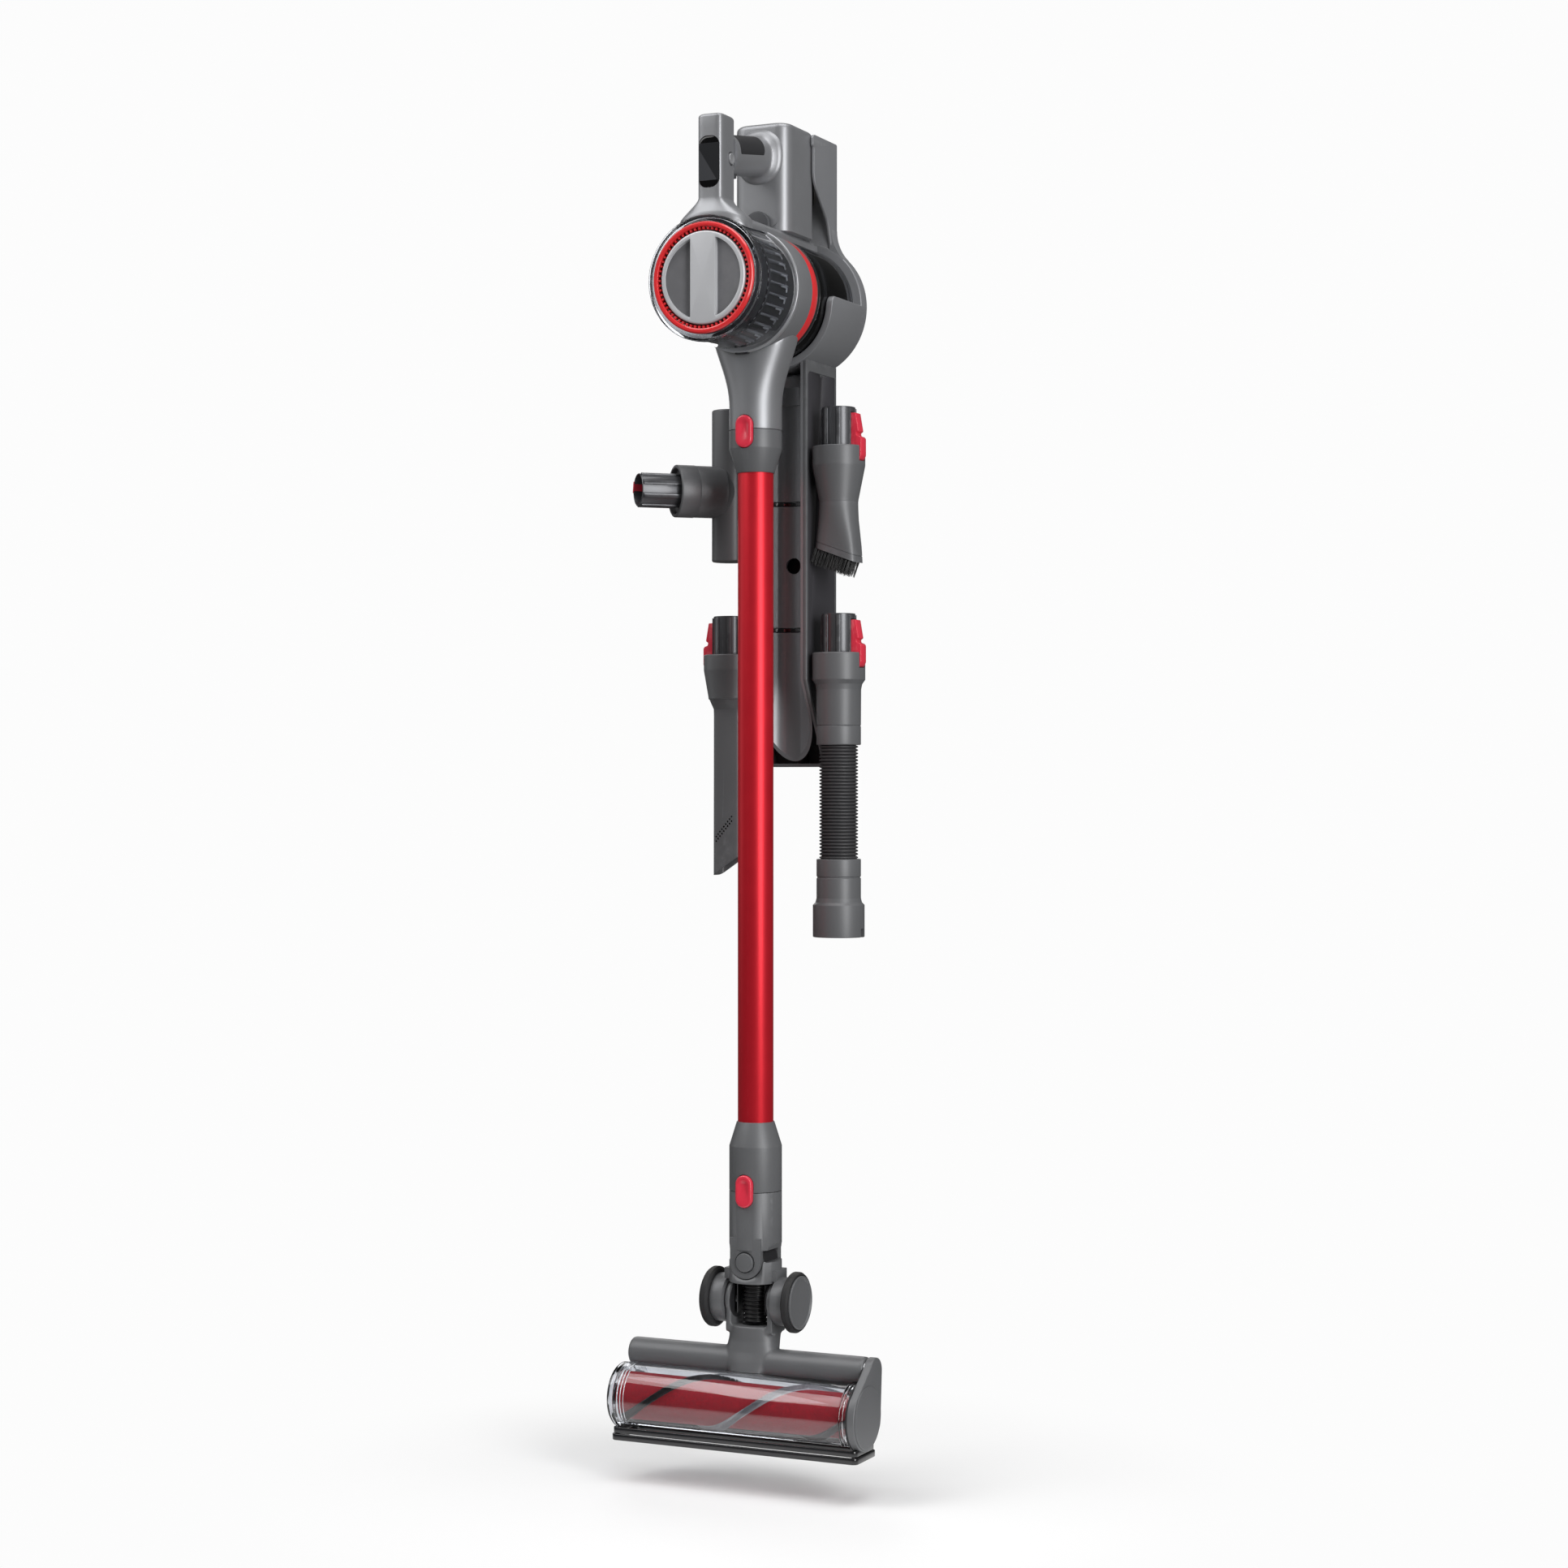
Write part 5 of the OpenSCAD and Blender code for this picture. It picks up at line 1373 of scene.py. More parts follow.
def makeWand():
    a, b = endsOf("upper_collar", 2)
    taper = 22*mm
    inner = tubeR - 3*mm
    upper = lathe("upper_collar_shell", "Z", (0, wandY), [(inner, a), (tubeR + 0.9*mm, a),
        (collarR, a + taper), (collarR, b - wandLook["seam"]), (inner, b - wandLook["seam"])],
        128, 0.7*mm)
    combine(upper, [buttonCutter("wand_button")])
    softShade(upper)
    settle(upper, "vacuum", greyShell, "upper_collar")
    a, b = endsOf("lower_collar", 2)
    lower = lathe("lower_collar_shell", "Z", (0, wandY), [(inner, a + wandLook["seam"]),
        (collarR, a + wandLook["seam"]), (collarR, b - taper), (tubeR + 0.9*mm, b), (inner, b)],
        128, 0.7*mm)
    combine(lower, [buttonCutter("head_button")])
    softShade(lower)
    settle(lower, "vacuum", greyShell, "lower_collar")
    a, b = endsOf("wand_tube", 2)
    tube = lathe("red_wand_tube", "Z", (0, wandY), section(tubeR - 1.2*mm, tubeR, a, b), 128,
        0.3*mm)
    settle(tube, "vacuum", redAnodised, "wand_tube")
    makeButton("wand_button", "wand_release", "wand_button")
    makeButton("head_button", "head_release", "head_button")


makeRear()
makeMotor()
makeInlet()
makeWand()

# floor head
print("floor head")
headLook = {"voxel": 1.1*mm, "blend": 6, "endSoft": 3*mm, "hoseRibs": 12, "bossR": 15*mm,
    "bossY": 15.2*mm, "stripWidth": 7.5*mm, "stripTurns": -1.16, "stripStart": radians(412),
    "tufts": 5200}


def makeJoint():
    swivelZ, bossR = middle("swivel_pins", 2), headLook["bossR"]
    sleeve = refined("neck_sleeve", 1.0*mm, "neck_sleeve_shell")
    yoke = refined("yoke", 1.0*mm, "yoke_shell")
    room = [Vector((bossR * 1.06 * cos(a), bossR * 1.06 * sin(a)))
        for a in [pi + pi * k / 32 for k in range(33)]]
    room += [Vector((room[-1].x, 22*mm)), Vector((room[0].x, 22*mm))]
    for side in (-1, 1):
        skin = wandY + side * (collarR + mm)
        floor = wandY + side * (collarR - 3.6*mm)
        combine(sleeve, [lathe("capGroove", "Y", (0, swivelZ),
            section(8.6*mm, 9.6*mm, floor, skin), 64, 0)])
        combine(yoke, [rawSlab("tongueRoom", room, "XZ", wandY + side * headLook["bossY"], skin,
            (0, swivelZ))])
    # a dark ring in the room round the swivel boss: painted shade in the gap
    bossGapShade = lathe("boss_gap_shade", "Y", (0, swivelZ), section(bossR - mm, bossR + 0.5*mm,
        wandY - 14.4*mm, wandY + 14.4*mm), 64, 0.2*mm)
    settle(bossGapShade, "yoke", darkShell)
    settle(softShade(sleeve, 30), "vacuum", greyShell, "neck_sleeve")
    settle(refined("swivel_pins", 0.5*mm, "swivel_caps"), "vacuum", greyShell, "swivel_pins")
    settle(softShade(yoke, 30), "yoke", greyShell, "yoke")
    settle(refined("wheel_axles", 0.4*mm, "wheel_axle_pins"), "yoke", wornSteel, "wheel_axles")
    a, b = endsOf("neck_hose", 2)
    r = halfSize("neck_hose", 0)
    step = (b - a) / headLook["hoseRibs"]
    rib = lathe("hoseRib", "Z", (0, wandY), [(r - 3.4*mm, a), (r - 1.6*mm, a),
        (r, a + step * 0.3), (r, a + step * 0.55), (r - 1.6*mm, a + step * 0.85),
        (r - 1.6*mm, a + step), (r - 3.4*mm, a + step)], 64, 0.4*mm)
    hose = useTree(rib, repeatAlong, {"Count": headLook["hoseRibs"], "Step": (0, 0, step),
        "Material": ribbedRubber})
    hose.name = "neck_hose_ribs"
    tidyMesh(hose, 4e-6)
    settle(softShade(hose, 50), "yoke", ribbedRubber, "neck_hose")
    # a dark part-tube behind the hose in the yoke window: painted shade
    windowShade = lathe("hose_window_shade", "Z", (0, wandY), section(16.4*mm, 17*mm, axleZ - 12*mm,
        axleZ + 15*mm), 64, 0.1*mm, 2, (-35, 215))
    settle(windowShade, "yoke", darkShell)
    # dark discs on the arms' inner faces, seen through the yoke window: painted shade
    for side in (-1, 1):
        pad = lathe("arm_face_shade", "X", (wandY, axleZ), section(5.2*mm, 17*mm, side * 17.5*mm,
            side * 18.2*mm), 64, 0.1*mm)
        settle(pad, "head", darkShell)


def makeWheel(side):
    node = "wheel_left" if side < 0 else "wheel_right"
    inner = min(abs(low(node, 0)), abs(high(node, 0)))
    outer = max(abs(low(node, 0)), abs(high(node, 0)))
    r = halfSize(node, 2)

    def across(profile):
        return [(p[0], side * p[1]) for p in profile]
    tyre = lathe(node + "_tyre", "X", (wandY, axleZ), across([(r - 6*mm, inner),
        (r - 2.4*mm, inner), (r, inner + 1.8*mm), (r, outer - 3.6*mm),
        (r - 1.4*mm, outer - 1.6*mm), (r - 3*mm, outer - 1.5*mm), (r - 3*mm, outer - 2.6*mm),
        (r - 6*mm, outer - 2.6*mm)]), 96, 0.7*mm)
    settle(tyre, node, tyreRubber, node)
    hub = lathe(node + "_hub", "X", (wandY, axleZ), across([(5.1*mm, inner + 0.4*mm),
        (r - 5.6*mm, inner + 0.4*mm), (r - 5.6*mm, outer - 3*mm), (r - 3.4*mm, outer - 2*mm),
        (r - 3.4*mm, outer - 0.4*mm), (r - 4.2*mm, outer), (r - 5.2*mm, outer),
        (r - 6*mm, outer - 1.5*mm), (0, outer - 1.1*mm), (0, outer - 1.8*mm),
        (5.1*mm, outer - 2*mm)]), 96, 0.4*mm)
    settle(hub, node, greyShell)


def makeHeadShell():
    backY, backZ = middle("head_motor", 1), middle("head_motor", 2)
    backR = 13*mm
    left, right = low("head_shell", 0), low("belt_cap", 0)
    solids = [lathe("backTube", "X", (backY, backZ), section(0, backR, left + 2*mm,
        right - 0.4*mm), 64, headLook["endSoft"], 5)]
    top = axleZ - 22*mm
    neckR = collarR - 0.6*mm
    rings = []
    levels = [  # height, half width, half depth, centre in Y, power
        (top, neckR, neckR * 0.86, wandY, 2.2), (top - 6*mm, neckR, neckR * 0.86, wandY, 2.2),
        (backZ + 20*mm, neckR + 0.4*mm, 18*mm, wandY - 2*mm, 2.3),
        (backZ + 10*mm, neckR + 1.6*mm, 16*mm, wandY - 6*mm, 2.4),
        (backZ + 2*mm, neckR, 15*mm, wandY - 10*mm, 2.3),
        (backZ - 5*mm, neckR * 0.84, 12*mm, wandY - 15*mm, 2.1),
        (backZ - 9.5*mm, neckR * 0.66, 8*mm, wandY - 20*mm, 2.0),
        (backZ - 12*mm, neckR * 0.36, 4*mm, wandY - 23*mm, 2.0)]
    for z, a, d, y, power in levels:
        rings.append([Vector((p.x, y + p.y, z)) for p in superOutline(a, d, power, 48)])
    solids.append(loft("neck", list(reversed(rings))))
    for side in (-1, 1):
        arm = joinPieces("arm", [lathe("armEnd", "X", (wandY, axleZ),
            section(0, 17.3*mm, side * 18*mm, side * 23.4*mm), 48, 0),
            rawSlab("armBar", roundedBox(30*mm, 30*mm, 3*mm), "YZ", side * 18*mm, side * 23.4*mm,
            (wandY, axleZ - 14*mm))])
        solids.append(arm)
    shell = joinPieces("head_body", solids)
    tidyMesh(shell, 1e-7)
    remesh = shell.modifiers.new("oneSkin", "REMESH")
    remesh.mode = "VOXEL"
    remesh.voxel_size = headLook["voxel"]
    applyModifiers(shell)
    smooth = shell.modifiers.new("blend", "SMOOTH")
    smooth.factor, smooth.iterations = 0.5, headLook["blend"]
    applyModifiers(shell)
    cutters = [lathe("axleBore", "X", (wandY, axleZ), section(0, 5.1*mm, -0.06, 0.06), 48, 0),
        lathe("hoseBore", "Z", (0, wandY), section(0, 12.4*mm, axleZ - 31*mm, axleZ + 30*mm), 48,
        0), lathe("rollerRoom", "X", (rollerY, rollerZ), section(0, 30.1*mm, left + 5.2*mm, 0.2),
        96, 0)]
    combine(shell, cutters)
    for face in shell.data.polygons:
        face.use_smooth = True
    shell.data.set_sharp_from_angle(angle=radians(50))
    settle(shell, "head", greyShell, "head_shell")


def makeCover():
    left, right = endsOf("roller_cover", 0)
    r, wall = 30*mm, 2.0*mm
    arc = (-47, 227)
    profile = [(r - wall, left), (r, left)]
    for k in range(3):  # the rib lines at the left end
        x = left + (3 + 3.2 * k)*mm
        profile += [(r, x), (r + 0.5*mm, x + 0.5*mm), (r + 0.5*mm, x + 1.3*mm), (r, x + 1.8*mm)]
    for k in range(2):  # and at the right
        x = right - (8 - 3.2 * k)*mm
        profile += [(r, x), (r + 0.5*mm, x + 0.5*mm), (r + 0.5*mm, x + 1.3*mm), (r, x + 1.8*mm)]
    profile += [(r, right), (r - wall, right)]
    cover = lathe("clear_roller_cover", "X", (rollerY, rollerZ), profile, 96, 0.25*mm, 2, arc)
    settle(cover, "head", clearCover, "roller_cover")
    end = lathe("clear_end_disc", "X", (rollerY, rollerZ), [(9*mm, left - 6.6*mm),
        (r - 1.4*mm, left - 6.6*mm), (r - 0.4*mm, left - 5.4*mm), (r - 0.4*mm, left - 0.2*mm),
        (r - 1.8*mm, left - 0.2*mm), (r - 2.2*mm, left - 4.6*mm), (9*mm, left - 4.8*mm)], 96,
        0.3*mm)
    settle(end, "head", clearCover)
    bearing = lathe("end_bearing", "X", (rollerY, rollerZ), [(0, left - 6.8*mm),
        (9.2*mm, left - 6.8*mm), (9.2*mm, left - 3.8*mm), (6.8*mm, left - 3.8*mm),
        (6.8*mm, left - 1.6*mm), (5.3*mm, left - 1.6*mm), (5.3*mm, left - 2.8*mm),
        (0, left - 2.8*mm)], 64, 0.2*mm)
    settle(bearing, "head", darkGrey)


def makeBeltCap():
    inner, outer = endsOf("belt_cap", 0)
    backY, backZ = middle("head_motor", 1), middle("head_motor", 2)
    points = []
    for centre, r, start, end in (((rollerY, rollerZ), 30*mm, 140, 300),
            ((rollerY + 15*mm, rollerZ - 6*mm), 15*mm, 306, 360), ((backY, backZ), 13*mm, 0, 150)):
        steps = max(2, int((end - start) / 6))
        points += [(centre[0] + r * cos(radians(between(start, end, k / steps))),
            centre[1] + r * sin(radians(between(start, end, k / steps))))
            for k in range(steps + 1)]
    cap = slab("belt_cap_shell", [Vector(p) for p in points], "YZ", inner + 0.2*mm,
        outer - 1.2*mm, 1.2*mm, (0, 0), 4)
    settle(cap, "head", greyShell, "belt_cap")
    disc = lathe("belt_cap_disc", "X", (rollerY, rollerZ), [(0, outer - 2*mm),
        (28.2*mm, outer - 2*mm), (28.2*mm, outer - 0.5*mm), (27*mm, outer), (0, outer - 0.1*mm)],
        96, 0.3*mm)
    settle(disc, "head", greyShell)
    gasket = lathe("belt_cap_seam", "X", (rollerY, rollerZ), section(27*mm, 30.3*mm,
        inner - 0.6*mm, inner + 0.5*mm), 96, 0.2*mm)
    settle(gasket, "head", darkShell)


def stripRibbon(name, first, width, bottom, top, left, right, turns):
    points, faces = [], []
    steps = 120
    for k in range(steps + 1):
        share = k / steps
        x = between(left, right, share)
        angle = first + turns * tau * share
        for side, r in ((-1, bottom), (-0.8, top), (0.8, top), (1, bottom)):
            a = angle + side * width / 2 / bottom
            points.append(Vector((x, rollerY + r * cos(a), rollerZ + r * sin(a))))
    for k in range(steps):
        for i in range(4):
            j = (i + 1) % 4
            faces.append((4 * k + i, 4 * k + j, 4 * k + 4 + j, 4 * k + 4 + i))
    faces += [(3, 2, 1, 0), tuple(4 * steps + i for i in range(4))]
    return softShade(tidyMesh(addPiece(name, points, faces)), 60)


def makeRoller():
    left, right = low("roller", 0) + 3.6*mm, high("roller", 0) - 3*mm
    feltR = 20.8*mm
    felt = lathe("roller_felt", "X", (rollerY, rollerZ), section(0, feltR, left, right), 128,
        1.6*mm, 4)
    settle(felt, "roller", rollerFelt, "roller")
    spindle = lathe("roller_spindle", "X", (rollerY, rollerZ),
        [(0, low("roller", 0) + 0.2*mm), (4.9*mm, low("roller", 0) + 0.2*mm),
        (4.9*mm, left - 0.4*mm), (feltR - 2*mm, left - 0.4*mm), (feltR - 2*mm, left + mm),
        (0, left + mm)], 64, 0.3*mm)
    settle(spindle, "roller", darkShell)
    for shift, label, bristle in ((0.0, "grey", bristleGrey), (pi, "dark", bristleBlack)):
        start = headLook["stripStart"] + shift
        ribbon = stripRibbon("roller_strip_" + label, start, headLook["stripWidth"],
            feltR - 0.3*mm, feltR + 0.8*mm, left + 2*mm, right - 2*mm, headLook["stripTurns"])
        settle(ribbon, "roller", bristle)
        tufts = useTree(addPiece("roller_tufts_" + label, [(0, 0, 0)], []), spiralBristles,
            {"Count": headLook["tufts"], "Start": left + 2.5*mm, "End": right - 2.5*mm,
            "Turns": headLook["stripTurns"], "First Angle": start,
            "Centre": (0, rollerY, rollerZ), "Radius": feltR + 0.2*mm, "Tuft Length": 4.4*mm,
            "Tuft Radius": 0.45*mm, "Spread": 0.26, "Seed": 4, "Material": bristle})
        settle(tufts, "roller", bristle)


def makeSkirt():
    (x0, x1), (y0, y1), (z0, z1) = [endsOf("sole_skirt", axis) for axis in range(3)]
    middleX, middleY = (x0 + x1) / 2, (y0 + y1) / 2
    rails = []
    for tall, grow in (((z0 + 0.2*mm, z0 + 6*mm), 0), ((z0 + 6.6*mm, z1 - 4*mm), 0.9*mm)):
        outer = slab("skirtOuter", roundedBox(x1 - x0 - 2 * grow, y1 - y0 - 2 * grow, 5*mm), "XY",
            tall[0], tall[1], 0, (middleX, middleY))
        hole = slab("skirtHole", roundedBox(x1 - x0 - 12*mm, y1 - y0 - 6*mm, 3*mm), "XY",
            tall[0] - mm, tall[1] + mm, 0, (middleX, middleY))
        rails.append(softenEdges(combine(tidyMesh(outer), [tidyMesh(hole)]), 0.7*mm, 3))
    skirt = joinPieces("sole_skirt_rails", rails)
    settle(softShade(skirt), "head", glossyBlack, "sole_skirt", slotName="dark_plastic")


makeJoint()
makeWheel(-1)
makeWheel(1)
makeHeadShell()
makeCover()
makeBeltCap()
makeRoller()
makeSkirt()

# wall dock
print("wall dock")
dock = {"panelIn": 3.6*mm, "panelDeep": 0.9*mm, "grooves": (-110*mm, -228*mm), "wall": 3*mm,
    "access": 7.5*mm, "screwZ": -168*mm, "saddle": 62.8*mm, "slopeTop": -276*mm,
    "footDepth": 24*mm}


def cutBox(lows, highs):
    (x0, y0, z0), (x1, y1, z1) = lows, highs
    return rawSlab("cutBox", section(x0, x1, y0, y1), "XY", z0, z1)


def sideOutline(front, foot, inset, top, soft):
    # the dock's side view, drawn in from its edges
    slope = (front + inset, dock["slopeTop"])
    points = [(front + inset, top), slope, (-dock["footDepth"] + inset, foot + inset * 0.6),
        (-inset, foot + inset * 0.6), (-inset, top)]
    return roundCorners(points, soft, 5)


def makeColumn():
    column = refined("dock_column", 1.3*mm, "column_shell")
    front, foot = low("dock_column", 1), low("dock_column", 2)
    half = halfSize("dock_column", 0)
    top = 9*mm
    for side in (-1, 1):
        outline = sideOutline(front, foot, dock["panelIn"], top, [5*mm, 7*mm, 3*mm, 2*mm, 2*mm])
        combine(column, [rawSlab("panelCut", outline, "YZ", side * (half - dock["panelDeep"]),
            side * (half + 2*mm))])
        outline = sideOutline(front, foot, dock["panelIn"] + 0.35*mm, top - 0.35*mm,
            [5*mm, 7*mm, 3*mm, 2*mm, 2*mm])
        panel = slab("side_panel_" + ("left" if side < 0 else "right"), outline, "YZ",
            side * (half - dock["panelDeep"] + 0.02*mm), side * (half - 0.25*mm), 0.3*mm)
        notch = lathe("notch", "X", (front / 2, top - 0.4*mm),
            section(0, 2.6*mm, side * (half - 3*mm), side * (half + mm)), 24, 0)
        settle(combine(panel, [notch]), "dock", sidePanel)
    softShade(column, 30)
    settle(column, "dock", greyShell, "dock_column")


def makeTrough():
    front, foot = low("dock_column", 1), low("dock_trough", 2)
    r = 25*mm
    centreY = front + 14*mm
    top = high("dock_trough", 2)
    outer, inner = [], []
    for k in range(49):
        angle = pi * k / 48
        for points, radius in ((outer, r + dock["wall"] - 0.3*mm), (inner, r)):
            points.append(Vector((radius * cos(angle), centreY + radius * sin(angle))))
    outer += [Vector((outer[-1].x, front)), Vector((outer[0].x, front))]
    inner += [Vector((inner[-1].x, front - mm)), Vector((inner[0].x, front - mm))]
    trough = rawSlab("channel", outer, "XY", foot, top)
    side = sideOutline(front, foot, 0, top + mm, [0, 0, 0, 0, 0])
    combine(trough, [rawSlab("trim", side, "YZ", -40*mm, 40*mm)], "INTERSECT")
    cutters = [rawSlab("hollow", inner, "XY", foot + 5*mm, top + 2*mm),
        lathe("access", "Y", (0, dock["screwZ"]), section(0, dock["access"], -0.1, 0.01), 48, 0),
        cupCutter(dock["saddle"], -0.12, 0.01)]
    for z in dock["grooves"]:
        cutters.append(lathe("groove", "Z", (0, centreY), [(r - 3*mm, z - 3.6*mm),
            (r + 2.1*mm, z - 1.6*mm), (r + 2.1*mm, z + 1.6*mm), (r - 3*mm, z + 3.2*mm)], 96,
            0.6*mm))
    combine(trough, cutters)
    # a glossy black strip lines each groove: painted shade in the groove
    for number, z in enumerate(dock["grooves"]):
        line = lathe("channel_groove_shade_" + str(number + 1), "Z", (0, centreY),
            section(r + 0.4*mm, r + 1.9*mm, z - 1.7*mm, z + 1.7*mm), 64, 0.2*mm, 2, (8, 172))
        settle(line, "dock", glossyBlack)
    settle(softShade(trough, 32), "dock", channelShell, "dock_trough")
    neck = lathe("channel_shoulder", "Z", (0, centreY), [(r - 0.2*mm, -18*mm), (r - 0.2*mm, 2*mm),
        (10*mm, 8*mm), (10*mm, 6*mm), (r - 3*mm, -1*mm), (r - 1.4*mm, -18*mm)], 64, 1.2*mm, 3,
        (4, 176))
    settle(neck, "dock", channelShell)


def makeBackPlate():
    for node, soft, name, material in (("dock_back_plate", 0.6, "back_plate", darkGrey),
            ("dock_board", 0.3, "circuit_board", boardGreen), ("dock_contacts", 0.3,
            "charge_contacts", brassPins), ("power_inlet", 0.3, "power_socket", darkShell),
            ("tool_hooks", 0.8, "tool_hook_arms", darkGrey)):
        settle(refined(node, soft*mm, name), "dock", material, node)


def makeCradle():
    top, front = high("dock_cradle", 2), -54*mm
    inner = 29.1*mm
    outer = inner + 2.8*mm
    behind = -13.7*mm
    inset = behind + 0.3*mm
    outline = roundCorners([(-0.2*mm, top), (front, top), (front, top - 10*mm),
        (front + 2.2*mm, top - 12*mm), (front + 2.2*mm, top - 43*mm), (-20*mm, top - 76*mm),
        (inset, top - 97*mm), (inset, cupZ + 34*mm), (-0.2*mm, cupZ + 34*mm)],
        [2*mm, 6*mm, 0.8*mm, 0.8*mm, 26*mm, 26*mm, 14*mm, 0, 0], 8)
    parts = [softenEdges(rawSlab("bracketWall", outline, "YZ", side * inner, side * outer),
        0.7*mm, 3) for side in (-1, 1)]
    plateT = 4*mm
    parts.append(softenEdges(cutBox((-inner - mm, behind + 5.4*mm - plateT, cupZ + 34*mm),
        (inner + mm, -4.2*mm, top - 0.2*mm)), 0.5*mm, 2))
    disc = aroundCup("disc", section(0, dock["saddle"], behind, -0.1*mm), 128, 1.4*mm, 4)
    parts.append(disc)
    band = aroundCup("band", section(56.4*mm, dock["saddle"], -80*mm, -4*mm), 96, 0, 3, (180, 360))
    shape = roundCorners([(-80*mm, cupZ + mm), (-68*mm, cupZ - 70*mm), (-3*mm, cupZ - 70*mm),
        (-3*mm, cupZ + mm)], [9*mm, 0, 0, 0], 6)
    combine(band, [rawSlab("bandTrim", shape, "YZ", -0.08, 0.08)], "INTERSECT")
    parts.append(softenEdges(band, 0.9*mm, 3, 40))
    # fillets that run the bracket walls into the disc
    reach = 40*mm
    for side in (-1, 1):
        turnX = outer + reach
        turnZ = cupZ + sqrt((dock["saddle"] + reach) ** 2 - turnX ** 2)
        lean = atan2(turnZ - cupZ, turnX)
        curve = [(turnX - reach * cos(lean * k / 10), turnZ - reach * sin(lean * k / 10))
            for k in range(11)]
        curve += [(inner + mm, cupZ + 40*mm), (inner + mm, turnZ)]
        parts.append(rawSlab("fillet", [Vector((side * p[0], p[1])) for p in curve], "XZ",
            behind + 0.15*mm, -0.3*mm))
    cradle = joinPieces("cradle_shell", parts)
    settle(softShade(cradle, 34), "dock", cradleShell, "dock_cradle")


sidePanel = mouldedFinish("sidePanel", tint(58, 57, 61), rough=0.48, grain=1300.0, relief=0.00002,
    wornColour=tint(92, 92, 94))
cradleShell = mouldedFinish("cradleShell", tint(134, 135, 138), rough=0.4, metallic=0.35,
    grain=2000.0, relief=0.00001, wornColour=tint(176, 176, 178))
makeColumn()
makeTrough()
makeBackPlate()
makeCradle()

# stored tools
print("stored tools")
tools = {"spigot": 16.5*mm, "bore": 14*mm, "spigotLong": 36*mm, "collar": 24.6*mm, "rails": 8,
    "bellowsRibs": 34, "holeRows": (0, 1), "holes": 9, "brushTop": -25*mm, "lowerTop": -215*mm,
    "lean": radians(20), "tipLean": radians(34)}


def spigot(side, top):
    # the plug end: a thin tube with rails along it
    centre = (side * toolX, toolY)
    low0 = top - tools["spigotLong"] - 2*mm
    r = tools["spigot"] - 1.1*mm
    tube = lathe("spigotTube", "Z", centre, [(tools["bore"], low0), (r, low0), (r, top - 0.4*mm),
        (r - 0.5*mm, top), (tools["bore"], top)], 96, 0.3*mm)
    rails = []
    for k in range(tools["rails"]):
        angle = tau * (k + 0.5) / tools["rails"]
        rail = slab("rail", roundedBox(2*mm, 3.6*mm, 0.3*mm, 2), "XY", low0, top - 1.6*mm, 0)
        rail.data.transform(Matrix.Translation((centre[0], centre[1], 0))
            @ Matrix.Rotation(angle, 4, "Z") @ Matrix.Translation(
            (tools["spigot"] - 1.05*mm, 0, 0)))
        rails.append(tidyMesh(rail))
    return combine(tube, rails, "UNION")


def latchRoom(side, top):
    x0 = side * (toolX + tools["spigot"] - 5.2*mm)
    x1 = side * (toolX + 30*mm)
    z = top - tools["spigotLong"]
    return cutBox((min(x0, x1), toolY - 6.3*mm, z - 14.3*mm),
        (max(x0, x1), toolY + 6.3*mm, top - 5*mm))


def hookRoom(side, top):
    back = toolY + tools["collar"] - 6*mm
    return cutBox((side * toolX - 6.5*mm, back, top - 46*mm), (side * toolX + 6.5*mm, 0.01, top))


def cutTogether(name, parts, makeCutters):
    # every part is cut by itself, then they become one piece
    return joinPieces(name, [combine(part, makeCutters()) for part in parts])


def collarProfile(top, tall, lowRadius):
    z = top - tools["spigotLong"]
    r = tools["collar"]
    return [(tools["bore"], z - tall), (lowRadius, z - tall),
        (lowRadius + 0.3*mm, z - tall + 3*mm), (r - 0.2*mm, z - tall / 3 - 1*mm),
        (r - 0.1*mm, z - tall / 3), (r - 0.1*mm, z - 0.8*mm), (r - 0.9*mm, z),
        (tools["spigot"] - 0.4*mm, z), (tools["bore"], z)]


def slantPlane(z, lean):
    # a big block under a leaning plane, to cut with
    block = cutBox((-0.09, -0.09, -0.12), (0.09, 0.09, 0))
    block.data.transform(Matrix.Translation((0, 0, z)) @ Matrix.Rotation(lean, 4, "Y"))
    return block


